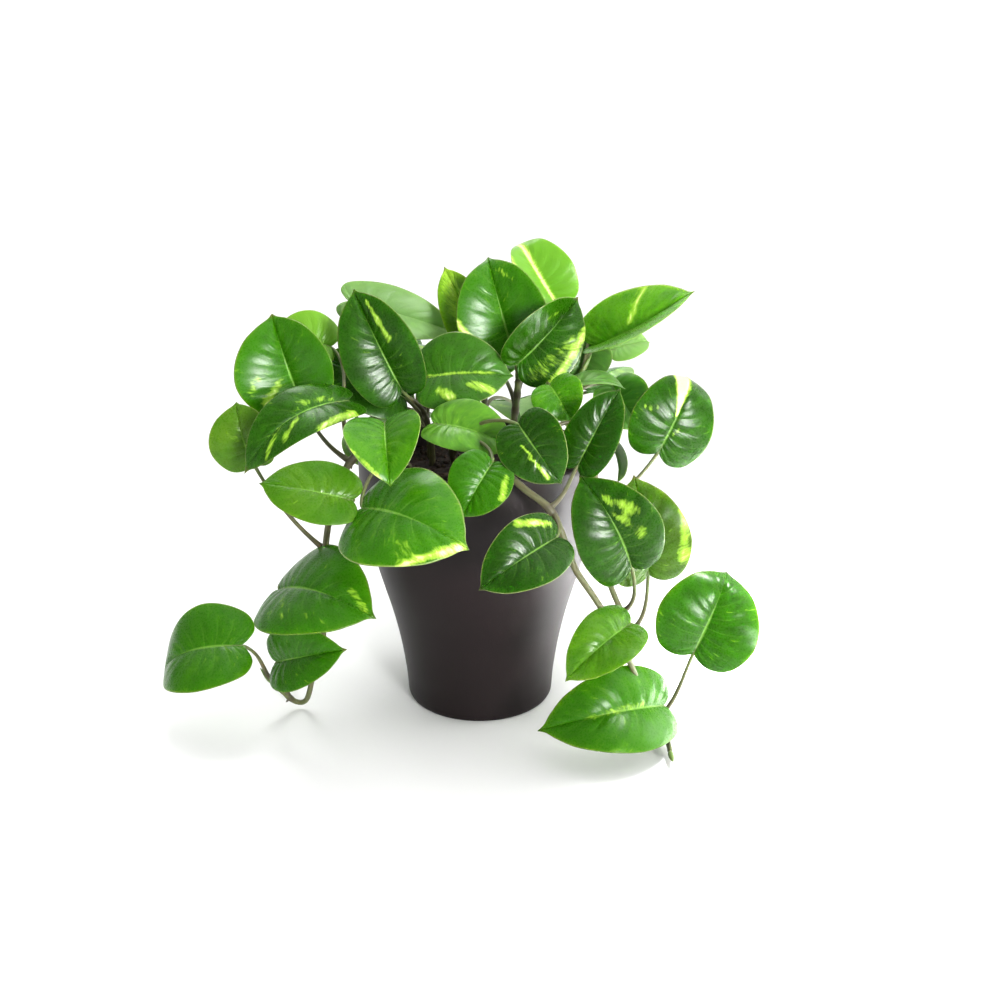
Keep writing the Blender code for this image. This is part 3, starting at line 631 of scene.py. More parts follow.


# root: where a stem enters the soil. route: its points above the soil. at: the route's point number that
# a leaf leaves from. attach: its notch. faces: where its upper side looks. tone: 0 dark to 1 bright green.
# warm: how olive. pale: how much the upper side takes the underside's greyer colour and rougher
# finish; on the palest leaves that grey is partly a painted sheen. edge: how pale the margin is.
# marks: pale streaks from one point to another and a strength, variegation on most leaves and a painted
# highlight on one; a point is (share of the length, share of the half width, streak's half width), positive
# left of the midrib, seen with the tip up.
stems = {
    "vine_left": {
        "root": (-0.042, -0.020), "radius": 0.0022, "trails": True,
        "route": [(-0.042, -0.020, 0.157), (-0.056, -0.032, 0.167), (-0.068, -0.044, 0.169),
                  (-0.074, -0.055, 0.162), (-0.079, -0.060, 0.148), (-0.084, -0.058, 0.131),
                  (-0.088, -0.052, 0.109), (-0.091, -0.048, 0.082), (-0.093, -0.045, 0.056),
                  (-0.102, -0.038, 0.027), (-0.108, -0.032, 0.008), (-0.115, -0.030, 0.005),
                  (-0.121, -0.034, 0.013), (-0.128, -0.038, 0.024)],
        "leaves": [
            leaf(2.0, (-0.088, 0.006, 0.223), (-0.125, 0.012, 0.227), (0, -0.8, 0.6), 0.036, tone=1.0,
                 warm=0.3, pale=0.2, marks=[((0.08, 0.85, 0.05), (0.30, 0.95, 0.05), 1.1)]),
            leaf(2.4, (-0.104, -0.014, 0.195), (-0.119, -0.006, 0.243), (-0.1, -1, 0.3), 0.058,
                 arch=0.07, fold=0.5, tone=0.42, dryTip=0.9,
                 marks=[((0.38, 0.55, 0.03), (0.20, 0.80, 0.04), 0.9),
                        ((0.28, 0.20, 0.02), (0.06, 0.55, 0.05), 1.2)]),
            leaf(1.7, (-0.073, -0.040, 0.200), (-0.126, -0.066, 0.167), (-1, -8, 7), 0.035, arch=0.2,
                 fold=0.1, bow=-0.03, tone=0.18, dryTip=0.8,
                 marks=[((0.10, -0.15, 0.03), (0.34, -0.30, 0.04), 0.45),
                        ((0.04, 0.70, 0.04), (0.34, 0.93, 0.03), 1.2),
                        ((0.42, 0.10, 0.02), (0.62, 0.55, 0.03), 0.8),
                        ((0.60, 0.05, 0.02), (0.82, 0.45, 0.02), 0.7)]),
            leaf(5.7, (-0.128, -0.040, 0.164), (-0.137, -0.032, 0.197), (-0.3, -0.9, 0.4), 0.041,
                 tone=0.4, warm=0.45, marks=[((0.30, 0.05, 0.06), (0.55, 0.30, 0.06), 0.4)]),
            leaf(3.7, (-0.066, -0.084, 0.156), (-0.113, -0.086, 0.166), (0, -0.8, 0.7), 0.036, arch=0.05,
                 fold=0.0, warm=0.3),
            leaf(6.0, (-0.113, -0.064, 0.096), (-0.055, -0.100, 0.096), (0, -0.6, 0.8), 0.062, arch=0.15,
                 fold=0.0, tone=0.42,
                 marks=[((0.78, 0.22, 0.03), (0.93, 0.03, 0.03), 0.7),
                        # a painted highlight: a soft pale sheen by the notch
                        ((0.20, -0.20, 0.03), (0.36, -0.70, 0.04), 0.45)]),
            leaf(11.6, (-0.120, -0.052, 0.044), (-0.076, -0.072, 0.062), (0.1, -0.9, 0.5), 0.038,
                 fold=0.35, tone=0.4, dryTip=0.9),
            leaf(13.0, (-0.141, -0.050, 0.054), (-0.195, -0.034, 0.028), (-0.4, -0.6, 0.7), 0.057,
                 arch=0.2, fold=0.1),
        ],
    },
    "shoot_rim_left": {
        "root": (-0.043, -0.038), "radius": 0.0020, "trails": False,
        "route": [(-0.043, -0.038, 0.158), (-0.046, -0.046, 0.169), (-0.047, -0.053, 0.178)],
        "leaves": [
            leaf(2.0, (-0.048, -0.074, 0.195), (-0.043, -0.102, 0.170), (0, -1, 0.5), 0.040, fold=0.55,
                 tone=0.6, edge=0.2, marks=[((0.60, -0.84, 0.02), (0.95, -0.20, 0.03), 0.9)]),
            leaf(1.0, (-0.060, -0.086, 0.152), (-0.004, -0.118, 0.142), (0, -0.7, 0.7), 0.064, arch=0.15,
                 fold=-0.1, tone=0.52, edge=0.2,
                 marks=[((0.30, -0.50, 0.14), (0.65, -0.50, 0.14), 0.3),
                        ((0.66, -0.78, 0.02), (0.97, -0.05, 0.04), 1.3)]),
        ],
    },
    "shoot_left": {
        "root": (-0.029, 0.008), "radius": 0.0022, "trails": False,
        "route": [(-0.029, 0.008, 0.158), (-0.030, 0.006, 0.170), (-0.033, 0.004, 0.184)],
        "leaves": [
            leaf(2.0, (-0.031, -0.008, 0.207), (0.020, -0.012, 0.209), (0, -0.85, 0.55), 0.048, tone=0.3,
                 pale=0.1, edge=0.2,
                 marks=[((0.18, -0.45, 0.04), (0.33, -0.65, 0.06), 1.1),
                        ((0.55, -0.35, 0.05), (0.78, -0.50, 0.05), 1.0),
                        ((0.00, 0.00, 0.02), (0.80, 0.00, 0.02), 0.8)]),
            leaf(1.8, (-0.044, -0.018, 0.202), (-0.071, -0.006, 0.257), (-0.2, -1, 0.25), 0.046,
                 arch=0.05, fold=0.42, tone=0.12,
                 marks=[((0.85, -0.22, 0.015), (0.45, -0.36, 0.03), 1.1)]),
            leaf(1.2, (-0.045, 0.006, 0.192), (-0.095, 0.012, 0.215), (0, -1, 0.5), 0.042, tone=0.15),
            leaf(1.6, (-0.024, 0.026, 0.204), (-0.032, 0.064, 0.214), (0, -0.3, 1), 0.036, arch=0.12,
                 marks=[((0.40, 0.30, 0.06), (0.60, 0.70, 0.07), 0.8)]),
        ],
    },
    "shoot_center": {
        "root": (0.020, -0.004), "radius": 0.0026, "trails": False,
        "route": [(0.020, -0.004, 0.158), (0.021, -0.002, 0.176), (0.023, 0.000, 0.192),
                  (0.024, 0.001, 0.206)],
        "leaves": [
            leaf(2.2, (0.047, 0.035, 0.246), (0.024, 0.050, 0.284), (0.4, -1, 0.2), 0.038, fold=0.45,
                 bow=0.05, curl=1.0, tone=1.0, pale=0.2,
                 marks=[((0.02, 0.02, 0.03), (0.95, 0.05, 0.05), 1.6),
                        ((0.25, 0.97, 0.03), (0.70, 0.75, 0.04), 1.1)]),
            leaf(2.9, (0.021, 0.013, 0.217), (0.005, 0.024, 0.275), (-0.1, -1, 0.2), 0.055, arch=0.05,
                 fold=0.4, curl=0.5, tone=0.45,
                 marks=[((0.84, -0.15, 0.03), (0.70, -0.40, 0.03), 0.5),
                        ((-0.04, 0.50, 0.05), (0.45, 0.97, 0.03), 1.2)]),
            leaf(3.0, (0.023, -0.005, 0.214), (0.059, 0.008, 0.251), (0.5, -0.9, 0.1), 0.044, arch=0.05,
                 fold=0.5, tone=0.18, edge=0.15, dryTip=0.9,
                 marks=[((0.05, -0.45, 0.09), (0.60, -0.55, 0.08), 0.5),
                        ((0.05, -0.90, 0.04), (0.80, -0.62, 0.04), 1.2),
                        ((0.45, 0.55, 0.02), (0.70, 0.30, 0.02), 0.5)]),
            leaf(1.6, (0.004, 0.028, 0.220), (-0.021, 0.036, 0.266), (-0.3, -1, 0.3), 0.032, arch=0.05,
                 fold=0.3, tone=0.8, warm=0.5, dryTip=1.0,
                 marks=[((0.30, 0.30, 0.10), (0.95, 0.00, 0.10), 0.8)]),
        ],
    },
    "shoot_front": {
        "root": (-0.014, -0.024), "radius": 0.0020, "trails": False,
        "route": [(-0.014, -0.024, 0.158), (-0.015, -0.027, 0.167), (-0.016, -0.030, 0.176)],
        "leaves": [
            leaf(1.0, (0.009, -0.079, 0.175), (-0.007, -0.089, 0.148), (-0.3, -1, 0.2), 0.035, tone=0.4,
                 marks=[((0.12, 0.65, 0.05), (0.42, 0.85, 0.06), 1.1)]),
            leaf(2.0, (-0.024, -0.040, 0.187), (0.021, -0.054, 0.176), (0, -0.7, 0.7), 0.034, arch=0.12,
                 tone=0.7, pale=0.2),
            leaf(0.6, (0.023, -0.072, 0.194), (0.045, -0.086, 0.166), (-0.1, -1, 0.2), 0.037, tone=0.05,
                 edge=0.15, marks=[((0.28, -0.25, 0.02), (0.85, -0.20, 0.03), 1.2)]),
        ],
    },
    "shoot_right": {
        "root": (0.040, -0.004), "radius": 0.0022, "trails": False,
        "route": [(0.040, -0.004, 0.158), (0.045, 0.001, 0.176), (0.054, 0.006, 0.194),
                  (0.063, 0.009, 0.208)],
        "leaves": [
            leaf(3.0, (0.070, 0.013, 0.222), (0.125, 0.002, 0.256), (-3, -3, 7), 0.052, arch=0.02,
                 fold=0.42, bow=-0.11, tone=0.75, edge=0.2, dryTip=0.9,
                 marks=[((0.62, 0.75, 0.03), (0.38, 0.15, 0.02), 1.3)]),
            leaf(1.6, (0.081, 0.010, 0.199), (0.097, -0.002, 0.174), (0, -1, 0.3), 0.034, tone=0.45,
                 pale=0.3),
            leaf(1.8, (0.049, -0.020, 0.203), (0.084, -0.028, 0.205), (0, -0.1, 1), 0.026, tone=0.6,
                 pale=0.5),
            leaf(3.0, (0.067, 0.020, 0.222), (0.064, 0.014, 0.197), (-0.2, -1, 0.1), 0.032, fold=0.3,
                 tone=0.3, pale=0.4),
            leaf(1.2, (0.041, -0.036, 0.208), (0.053, -0.046, 0.190), (0, -1, 0.4), 0.030, fold=0.3,
                 tone=0.6, marks=[((0.30, 0.00, 0.16), (0.70, 0.00, 0.16), 0.35)]),
            leaf(0.8, (0.072, 0.006, 0.174), (0.088, 0.014, 0.136), (1, 0.1, 0.4), 0.034, arch=0.12,
                 tone=0.4, marks=[((0.30, 0.30, 0.05), (0.50, 0.70, 0.07), 0.9)]),
        ],
    },
    "vine_front": {
        "root": (0.002, -0.050), "radius": 0.0022, "trails": True,
        "route": [(0.002, -0.050, 0.157), (0.007, -0.063, 0.167), (0.015, -0.073, 0.168),
                  (0.027, -0.080, 0.160), (0.040, -0.084, 0.150), (0.048, -0.087, 0.133),
                  (0.054, -0.087, 0.117), (0.067, -0.084, 0.096), (0.081, -0.080, 0.070),
                  (0.095, -0.073, 0.037), (0.107, -0.068, 0.011), (0.111, -0.077, 0.005),
                  (0.111, -0.088, 0.004)],
        "leaves": [
            leaf(4.1, (0.042, -0.104, 0.142), (0.003, -0.122, 0.121), (-0.45, -1, 0.25), 0.037,
                 tone=0.08, edge=0.2, marks=[((-0.02, -0.40, 0.03), (0.30, -0.88, 0.045), 1.1)]),
            leaf(3.9, (0.055, -0.070, 0.171), (0.077, -0.062, 0.211), (-0.4, -1, 0.1), 0.030, arch=0.05,
                 tone=0.0),
            leaf(8.2, (0.085, -0.084, 0.084), (0.049, -0.104, 0.060), (-0.1, -1, 0.8), 0.034, arch=0.2,
                 fold=0.25, tone=0.6, warm=0.2),
            leaf(10.3, (0.108, -0.072, 0.026), (0.036, -0.092, 0.022), (0.1, -1, 0.8), 0.049, arch=0.2,
                 marks=[((0.20, -0.10, 0.03), (0.70, 0.05, 0.02), 0.6)]),
            leaf(9.8, (0.126, -0.062, 0.055), (0.148, -0.044, 0.101), (-0.06, -1, 0.4), 0.060, fold=0.08,
                 curl=0.8, tone=0.28, marks=[((0.30, -0.60, 0.03), (0.60, -0.75, 0.03), 0.5)]),
        ],
    },
    "vine_right": {
        "root": (0.044, -0.026), "radius": 0.0022, "trails": True,
        "route": [(0.045, -0.027, 0.157), (0.055, -0.041, 0.167), (0.063, -0.052, 0.165),
                  (0.068, -0.059, 0.151), (0.071, -0.062, 0.126), (0.075, -0.062, 0.101),
                  (0.083, -0.062, 0.081), (0.090, -0.062, 0.066)],
        "leaves": [
            leaf(6.0, (0.084, -0.086, 0.119), (0.056, -0.078, 0.167), (-1, -10, 2), 0.048, bow=-0.06,
                 tone=0.12,
                 marks=[((0.72, -0.15, 0.04), (0.50, -0.55, 0.07), 0.8),
                        ((0.56, -0.12, 0.03), (0.28, -0.45, 0.06), 0.7)]),
            leaf(6.8, (0.096, -0.070, 0.108), (0.087, -0.062, 0.162), (0.1, -1, 0.2), 0.049, tone=0.2,
                 warm=0.3, dryTip=1.0, marks=[((0.12, -0.80, 0.06), (0.60, -0.90, 0.05), 0.9)]),
            leaf(3.2, (0.103, -0.042, 0.171), (0.123, -0.030, 0.215), (0.2, -1, 0.3), 0.049, arch=0.08,
                 fold=-0.12, curl=1.2, tone=0.18,
                 marks=[((0.97, 0.20, 0.10), (0.45, 0.02, 0.012), 2.2),
                        ((0.46, 0.45, 0.02), (0.38, 0.75, 0.02), 0.8),
                        ((0.24, -0.10, 0.02), (0.34, -0.20, 0.02), 0.8)]),
        ],
    },
    "shoot_back_left": {
        "root": (-0.032, 0.030), "radius": 0.0022, "trails": False,
        "route": [(-0.032, 0.030, 0.158), (-0.038, 0.038, 0.172), (-0.044, 0.046, 0.184)],
        "leaves": [
            # a painted sheen: its upper side painted nearly the underside's grey green
            leaf(2.0, (-0.080, 0.036, 0.246), (-0.016, 0.046, 0.226), (0, -1, 0.4), 0.032, arch=0.05,
                 tone=0.6, pale=0.9),
            leaf(1.6, (-0.066, 0.066, 0.196), (-0.112, 0.084, 0.182), (-0.3, 0.6, 1), 0.044, arch=0.15),
            leaf(1.2, (-0.043, 0.090, 0.188), (-0.060, 0.134, 0.164), (-0.2, 0.7, 0.8), 0.046, arch=0.15,
                 tone=0.6, marks=[((0.60, 0.20, 0.04), (0.45, 0.80, 0.07), 1.0)]),
            leaf(2.0, (-0.050, 0.064, 0.212), (-0.086, 0.098, 0.214), (-0.2, 0.4, 1), 0.042, arch=0.15,
                 tone=0.4, marks=[((0.25, -0.20, 0.05), (0.55, -0.40, 0.06), 0.8)]),
            leaf(0.8, (-0.050, 0.084, 0.164), (-0.066, 0.112, 0.130), (-0.3, 1, 0.4), 0.044, arch=0.12,
                 tone=0.35),
            leaf(1.0, (-0.062, 0.030, 0.182), (-0.112, 0.034, 0.172), (-0.2, 0, 1), 0.040, arch=0.15,
                 tone=0.35),
            leaf(1.6, (-0.066, 0.030, 0.198), (-0.114, 0.034, 0.192), (-0.2, 0, 1), 0.034, arch=0.15,
                 marks=[((0.35, 0.40, 0.06), (0.65, 0.60, 0.06), 0.8)]),
            leaf(0.5, (-0.067, 0.038, 0.172), (-0.080, 0.050, 0.136), (-0.9, 0.5, 0.4), 0.034, arch=0.12,
                 tone=0.4, marks=[((0.30, -0.30, 0.05), (0.45, -0.80, 0.07), 0.9)]),
        ],
    },
    "shoot_back_right": {
        "root": (0.036, 0.026), "radius": 0.0022, "trails": False,
        "route": [(0.036, 0.026, 0.158), (0.044, 0.036, 0.172), (0.052, 0.046, 0.186)],
        "leaves": [
            leaf(2.0, (0.086, 0.060, 0.212), (0.111, 0.066, 0.216), (0, -0.8, 0.8), 0.026, tone=0.9,
                 pale=0.8),
            leaf(1.6, (0.072, 0.076, 0.190), (0.100, 0.112, 0.176), (0.3, 0.6, 1), 0.044, arch=0.15,
                 marks=[((0.20, -0.20, 0.05), (0.60, -0.40, 0.07), 0.9)]),
            leaf(1.8, (0.050, 0.084, 0.202), (0.062, 0.130, 0.190), (0.1, 0.6, 1), 0.046, arch=0.15,
                 tone=0.45),
            leaf(0.8, (0.062, 0.076, 0.166), (0.078, 0.106, 0.134), (0.4, 1, 0.4), 0.044, arch=0.12,
                 tone=0.4, marks=[((0.66, -0.20, 0.04), (0.50, -0.85, 0.07), 1.0)]),
            leaf(1.0, (0.070, 0.034, 0.190), (0.116, 0.044, 0.176), (0.3, 0, 1), 0.040, arch=0.12,
                 tone=0.45, marks=[((0.40, 0.20, 0.05), (0.55, 0.60, 0.07), 0.8)]),
            leaf(1.4, (0.042, 0.034, 0.200), (0.054, 0.068, 0.202), (0, -0.3, 1), 0.036, arch=0.12),
        ],
    },
    "shoot_back": {
        "root": (0.004, 0.034), "radius": 0.0024, "trails": False,
        "route": [(0.004, 0.034, 0.158), (0.003, 0.042, 0.180), (0.002, 0.048, 0.198)],
        "leaves": [
            leaf(2.0, (-0.004, 0.062, 0.216), (-0.016, 0.100, 0.236), (-0.2, 0.2, 1), 0.042, arch=0.12,
                 tone=0.55),
            leaf(1.8, (0.013, 0.071, 0.213), (0.025, 0.115, 0.219), (0.2, 0.3, 1), 0.046, arch=0.15,
                 tone=0.4, marks=[((0.20, 0.15, 0.05), (0.75, 0.20, 0.05), 0.9)]),
            leaf(1.2, (0.006, 0.082, 0.192), (-0.002, 0.124, 0.176), (-0.1, 0.7, 1), 0.046, arch=0.15),
            leaf(0.8, (0.022, 0.084, 0.172), (0.030, 0.116, 0.146), (0.1, 1, 0.5), 0.042, arch=0.12,
                 tone=0.35, marks=[((0.55, 0.20, 0.05), (0.42, 0.80, 0.07), 0.8)]),
        ],
    },
    "vine_back": {
        "root": (-0.008, 0.052), "radius": 0.0022, "trails": True,
        "route": [(-0.008, 0.053, 0.157), (-0.008, 0.064, 0.167), (-0.010, 0.078, 0.168),
                  (-0.012, 0.088, 0.156), (-0.012, 0.091, 0.136), (-0.008, 0.090, 0.110),
                  (-0.002, 0.088, 0.084), (0.004, 0.090, 0.058), (0.004, 0.097, 0.034),
                  (0.001, 0.106, 0.014), (-0.004, 0.116, 0.005)],
        "leaves": [
            leaf(3.8, (-0.034, 0.098, 0.138), (-0.056, 0.110, 0.106), (-0.2, 1, 0.4), 0.046, arch=0.12,
                 tone=0.45),
            leaf(4.6, (0.018, 0.101, 0.124), (0.046, 0.114, 0.098), (0.2, 1, 0.5), 0.048, arch=0.15,
                 tone=0.55, marks=[((0.30, -0.20, 0.06), (0.65, -0.40, 0.07), 0.9)]),
            leaf(6.0, (-0.024, 0.101, 0.084), (-0.054, 0.114, 0.062), (-0.1, 1, 0.5), 0.044, arch=0.12,
                 tone=0.4, marks=[((0.70, 0.30, 0.05), (0.55, 0.85, 0.07), 1.0)]),
            leaf(7.2, (0.028, 0.104, 0.060), (0.056, 0.120, 0.036), (0.1, 1, 0.6), 0.048, arch=0.15),
            leaf(9.8, (-0.016, 0.126, 0.026), (-0.048, 0.150, 0.014), (-0.1, 0.5, 1), 0.044, arch=0.12,
                 tone=0.6),
        ],
    },
}


def leafDirections(growth):
    # along: notch to tip; out: the way the upper side looks, square to along; left: out x along
    along = growth["tip"] - growth["attach"]
    length = float(np.linalg.norm(along))
    along = along / length
    out = unit(growth["faces"] - growth["faces"] @ along * along)
    return length, np.stack((along, np.cross(out, along), out))


def bladeHeight(growth, length, share, x, y, side, draws):
    # fold |y| + arch x(1 - x) + a puffed half + ribs |sin| between veins + waves at the margin, with a
    # drooping and curled tip, a creased midrib and a slight twist
    width, reach = growth["width"], np.clip(x, 0, 1)
    spread = np.abs(y) * width
    inward = 4 * np.abs(side) * (1 - np.abs(side))
    swell = np.sin(pi * share) ** 0.5
    z = growth["fold"] * spread + 4 * growth["arch"] * length * x * (1 - x)
    z += blade["puff"] * width * inward * swell
    ribs = np.abs(np.sin(pi * leafFinish["veinsEachSide"] * share))
    z += blade["ribHeight"] * ribs * inward ** 0.7 * swell
    phases = draws.uniform(0, 2 * pi, 2)
    left, right = (np.sin(waves * pi * share + phase) for waves, phase in zip(blade["halfWaves"], phases))
    z += blade["waveHeight"] * np.where(side > 0, left, right) * side ** 2 * np.sin(pi * share)
    z -= blade["tipDroop"] * length * np.clip(reach - blade["droopFrom"], 0, 1) ** 2
    z -= 2 * growth["curl"] * length * np.clip(x - blade["curlFrom"], 0, 1) ** 2
    z -= blade["crease"] * bell(spread, blade["creaseWidth"]) * (1 - reach)
    return z + blade["twist"] * draws.uniform(-1, 1) * y * width * (reach - blade["twistFrom"])


def paintMarks(growth, x, y):
    # strength x how far inside the streak: distance to its line over its own width there
    stretch = np.array((1, 0.5 * growth["width"] / np.linalg.norm(growth["tip"] - growth["attach"])))
    here = np.stack((x, 2 * y), axis=-1) * stretch
    cream = np.zeros_like(x)
    for *ends, strength in growth["marks"]:
        (start, width0), (end, width1) = ((np.array(point[:2]) * stretch, point[2]) for point in ends)
        chord = end - start
        part = np.clip((here - start) @ chord / (chord @ chord), 0, 1)
        distance = np.linalg.norm(here - start - part[..., None] * chord, axis=-1)
        width = width0 + (width1 - width0) * part
        cream = np.maximum(cream, strength * smoothStep(*blade["streakEdge"], distance / width))
    return cream


def makeBlade(growth, seed):
    # flat place = midrib + side share x (edge - midrib), with the side veins curved towards the tip
    draws = np.random.default_rng(seed)
    share = np.linspace(0, 1, blade["rows"])[:, None]
    half = np.array(blade["across"])
    side = np.concatenate((half[:0:-1], -half))[None]
    edge = smoothPoints(blade["outline"], share[:, 0] * (len(blade["outline"]) - 1))
    middle = share ** blade["midribEase"] * edge[-1, 0]
    curved = blade["veinCurve"] * 4 * np.abs(side) * (1 - np.abs(side)) * np.sin(pi * share)
    x = middle + np.abs(side) * (edge[:, :1] - middle) - curved
    y = side * edge[:, 1:]
    length, directions = leafDirections(growth)
    z = bladeHeight(growth, length, share, x, y, side, draws)
    bow = 4 * growth["bow"] * length * x * (1 - x)
    curled = x - growth["curl"] * np.clip(x - blade["curlFrom"], 0, 1) ** 2
    flat = np.stack((curled * length, y * growth["width"] + bow, z), axis=-1)
    thickness = blade["thickness"] / 2 * (1 - side ** 8) * np.sin(pi * share) ** 0.25
    lift = thickness[..., None] * np.array((0, 0, 1))
    upper, lower = ((flat + sign * lift) @ directions + growth["attach"] for sign in (1, -1))

    # the marks: variegation, and on one leaf a painted highlight
    cream = paintMarks(growth, x, y)
    dryTip = growth["dryTip"] * smoothStep(*blade["dryTip"], x)
    place = sideBySide(share, side, seed % 97 * 1.0)
    look = sideBySide(growth["tone"], cream, growth["warm"])
    finish = [sideBySide(top, growth["edge"], dryTip) for top in (1 - growth["pale"], 0.0)]
    surface = sheetSurface(upper, lower, place=np.stack((place, place)), look=np.stack((look, look)),
                           finish=np.stack(finish))
    return surface, lower[:, len(half) - 1]


def makePetiole(start, leaving, growth, underRib, seed):
    # cubic Hermite curve from the stem up to the notch, then on under the midrib as its raised rib
    _, directions = leafDirections(growth)
    attach = underRib[0]
    chord = attach - start
    reach = np.linalg.norm(chord)
    leave = unit(leaving + unit(chord) + (0, 0, stalk["petioleLift"])) * reach
    arrive = unit(directions[0] + unit(chord)) * reach
    t = np.linspace(0, 1, stalk["petioleSteps"])[:, None]
    curve = (start * (2 * t ** 3 - 3 * t ** 2 + 1) + leave * (t ** 3 - 2 * t ** 2 + t)
             + attach * (3 * t ** 2 - 2 * t ** 3) + arrive * (t ** 3 - t ** 2))
    firstRow, rowShare, rowStep = stalk["ribRows"]
    rib = underRib[firstRow:int(len(underRib) * rowShare):rowStep]
    before = t[:-1, 0]
    thick, thin = stalk["petioleRadii"]
    ribShare, ribEnd = stalk["ribRadii"]
    sheath, knee = (swelling * bell(before - place, width)
                    for swelling, place, width in (stalk["sheath"], stalk["knee"]))
    radii = np.concatenate((np.linspace(thick, thin, len(before)) * (1 + (sheath + knee)),
                            np.linspace(ribShare * thin, ribEnd, len(rib))))
    radii[0] = radii[-1] = 0
    stemGreen, greener = stalk["petioleGreen"]
    greenness = np.concatenate((stemGreen + greener * before, np.full(len(rib), stalk["ribGreen"])))
    look = sideBySide(greenness, 0.0, 0.0)
    return tube(np.concatenate((curve[:-1], rib)), radii, stalk["petioleSides"], seed, look=look)


def makeSpike(start, direction, length, radius, greenness, seed):
    # spindle: radius x sin^0.8 that swells and tapers to a point, bent upwards
    share = np.linspace(0, 1, stalk["spikeRings"])[:, None]
    path = start + length * (unit(direction) * share + np.array((0, 0, stalk["spikeBend"])) * share ** 2)
    radii = radius * np.sin(pi * share[:, 0] ** 0.6) ** 0.8
    radii[0] = radii[-1] = 0
    look = np.broadcast_to((greenness, 0.0, 0.0), (len(share), 3))
    return tube(path, radii, stalk["spikeSides"], seed, look=look)


def makeLeafyStem(number, name, stem, leafLook, stalkLook):
    # stem: a tapering tube along its route that swells as a bell at each joint, where a petiole leaves
    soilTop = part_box("soil")[1].z
    x, y = stem["root"]
    points = np.array([(x, y, soilTop - stalk["rootDepth"]), (x, y, soilTop), *stem["route"]])
    buried = len(points) - len(stem["route"])
    numbers = np.linspace(0, len(points) - 1, (len(points) - 1) * stalk["stemStepsPerPoint"] + 1)
    path = smoothPoints(points, numbers)
    travelled = lengthsAlong(path)
    joints = np.array([np.interp(buried + growth["at"], numbers, travelled) for growth in stem["leaves"]])
    near = bell(travelled[:, None] - joints, stalk["nodeLength"]).max(axis=1)
    taper = np.linspace(1, stalk["stemTipShare"], len(path))
    radii = stem["radius"] * taper * (1 + stalk["nodeSwell"] * near)
    radii[[0, -1]] = 0
    radii[-2] *= stalk["stemEndShare"]
    look = sideBySide(np.linspace(*stalk["stemGreen"], len(path)), near, 0.0)
    stalks = [tube(path, radii, stalk["stemSides"], number, look=look)]
    blades = []
    for order, growth in enumerate(stem["leaves"]):
        seed = 1000 * (number + 1) + 10 * order  # its remainders are the seeds that the materials read
        place = buried + growth["at"]
        before, here = smoothPoints(points, (place - 0.1, place))
        surface, underRib = makeBlade(growth, seed)
        blades.append(surface)
        stalks.append(makePetiole(here, unit(here - before), growth, underRib, seed % 97))
        if stem["trails"]:
            # an aerial root's stub, away from the leaf and slightly down
            fromLeaf = stalk["nubAway"] * unit(growth["attach"] - here)
            away = unit(here - before) - fromLeaf + (0, 0, -stalk["nubDrop"])
            nubLength = stalk["nubLength"] + stem["radius"]
            stalks.append(makeSpike(here, away, nubLength, stalk["nubRadius"], 0.0, seed % 89))
    ending = unit(path[-1] - path[-4])
    spike = (stalk["spikeLength"], stem["radius"] * stalk["spikeShare"], stalk["spikeGreen"])
    stalks.append(makeSpike(path[-3], ending, *spike, number))
    for piece in (makePiece(name + "_leaves", blades, leafLook),
                  makePiece(name + "_stalks", stalks, stalkLook)):
        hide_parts(name)


camera = {"place": (0.013, -0.589, 0.320), "down": 18, "lens": 36, "sensor": 36}
daylight = {"from": (1.0, 0.12, 1.35), "strength": 0.62, "spread": 80, "colour": (1.0, 0.985, 0.96)}
softBoxes = {
    "right": {"place": (1.05, 0.10, 0.45), "aim": (0, 0, 0.14), "size": (0.60, 0.60), "watts": 0.8,
              "spread": 90},
    "front": {"place": (0.54, -1.07, 0.48), "aim": (-0.04, 0, 0.24), "size": (0.42, 0.50), "watts": 0.95,
              "spread": 24},
    "top": {"place": (-0.22, 0.57, 1.28), "aim": (0, 0, 0.14), "size": (0.45, 0.45), "watts": 0.5,
            "spread": 60},
    "floorRight": {"place": (0.40, -0.02, 0.60), "aim": (0.40, -0.02, 0), "size": (0.20, 0.30),
                   "watts": 8.0, "spread": 50},
}
surroundings = {
    "background": 1.0,
    "bright": 1.30,
    "dim": 0.40,
    "brightSide": (0.46, 0.70, 0.58),
    "dimToBright": (-0.15, 0.75),
    "floorWhite": 0.90,
    "floorRoughness": 0.8,
    "floorReach": 30.0,
}


def makeCamera():
    data = bpy.data.cameras.new("camera")
    data.lens, data.sensor_width = camera["lens"], camera["sensor"]
    item = addObject("camera", data)
    item.location = camera["place"]
    item.rotation_euler = (radians(90 - camera["down"]), 0, 0)
    bpy.context.scene.camera = item


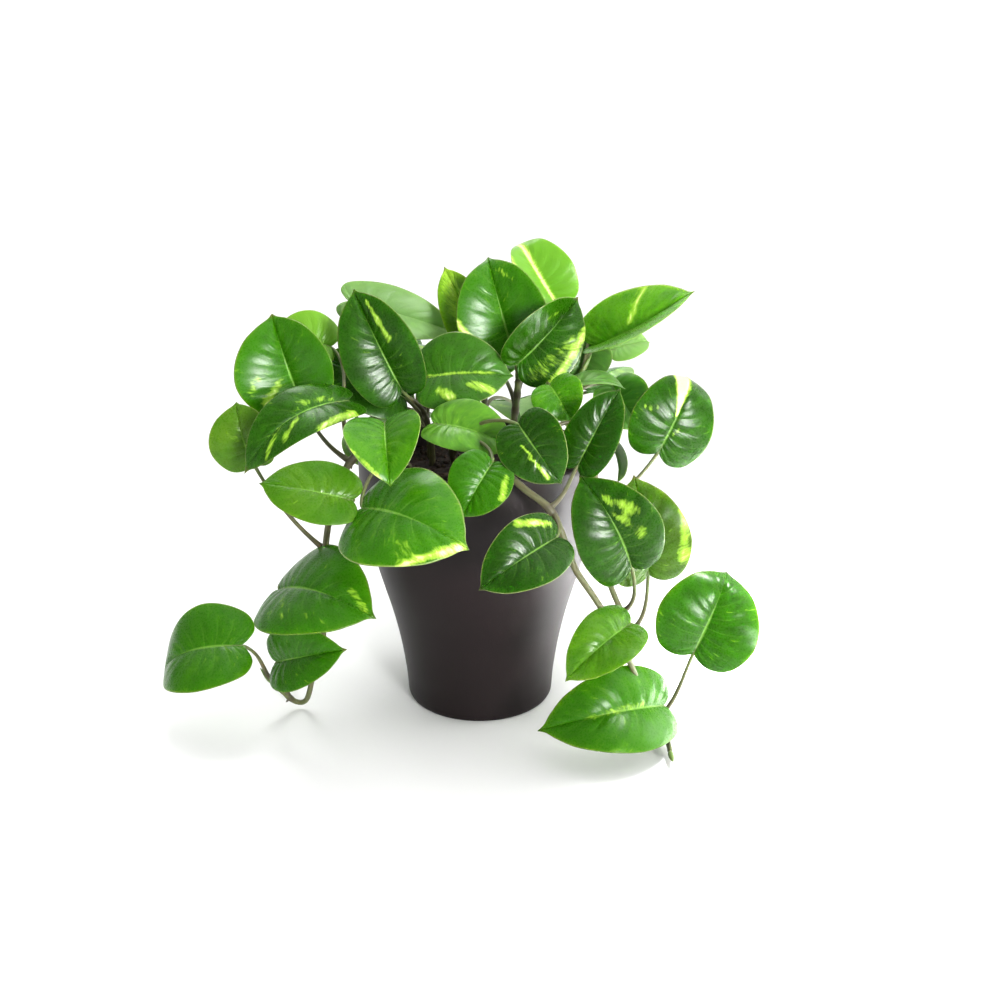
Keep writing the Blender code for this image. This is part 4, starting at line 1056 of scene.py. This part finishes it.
def addLamp(name, kind, place, aim, watts):
    # a lamp at its place, turned towards its aim
    data = bpy.data.lights.new(name, kind)
    data.energy = watts
    item = addObject(name, data)
    item.location = place
    item.rotation_euler = (Vector(aim) - item.location).to_track_quat("-Z", "Y").to_euler()
    return data


def makeLights():
    sun = addLamp("daylight", "SUN", daylight["from"], (0, 0, 0), daylight["strength"])
    sun.angle = radians(daylight["spread"])
    sun.color = daylight["colour"]
    for name, box in softBoxes.items():
        data = addLamp(name, "AREA", box["place"], box["aim"], box["watts"])
        data.shape = "RECTANGLE"
        data.size, data.size_y = box["size"]
        data.spread = radians(box["spread"])


def makeSurroundings():
    # what the camera sees is plain white; its light is bright from behind, the right and above, and
    # dim from the front
    world = bpy.data.worlds.new("studio")
    bpy.context.scene.world = world
    world.use_nodes = True
    tree = world.node_tree
    background = tree.nodes["Background"]
    direction = addNode(tree, "TexCoord").outputs["Generated"]
    vectors = {0: direction, 1: surroundings["brightSide"]}
    side = addNode(tree, "VectorMath", vectors, operation="DOT_PRODUCT").outputs["Value"]
    strength = remap(tree, side, *surroundings["dimToBright"], surroundings["dim"], surroundings["bright"])
    seen = addNode(tree, "LightPath").outputs["Is Camera Ray"]
    mixed = addNode(tree, "Mix", {0: seen, 2: strength, 3: surroundings["background"]}).outputs[0]
    tree.links.new(mixed, background.inputs["Strength"])
    background.inputs["Color"].default_value = (1, 1, 1, 1)


def makeFloor():
    mesh = bpy.data.meshes.new("floor")
    reach, white = surroundings["floorReach"], surroundings["floorWhite"]
    corners = [(-reach, -reach, 0), (reach, -reach, 0), (reach, reach, 0), (-reach, reach, 0)]
    mesh.from_pydata(corners, [], [(0, 1, 2, 3)])
    item = addObject("floor", mesh)
    sockets = {"Base Color": (white, white, white, 1), "Roughness": surroundings["floorRoughness"]}
    mesh.materials.append(newMaterial("whiteFloor", sockets)[0])


makeCamera()
makeLights()
makeSurroundings()
makeFloor()
print("studio ready")
makePot()
print("pot ready")
makeSoil()
print("soil ready")
leafLook, stalkLook = leafMaterial(), stalkMaterial()
for number, (name, stem) in enumerate(stems.items()):
    makeLeafyStem(number, name, stem, leafLook, stalkLook)
    print(name, "ready with", len(stem["leaves"]), "leaves")
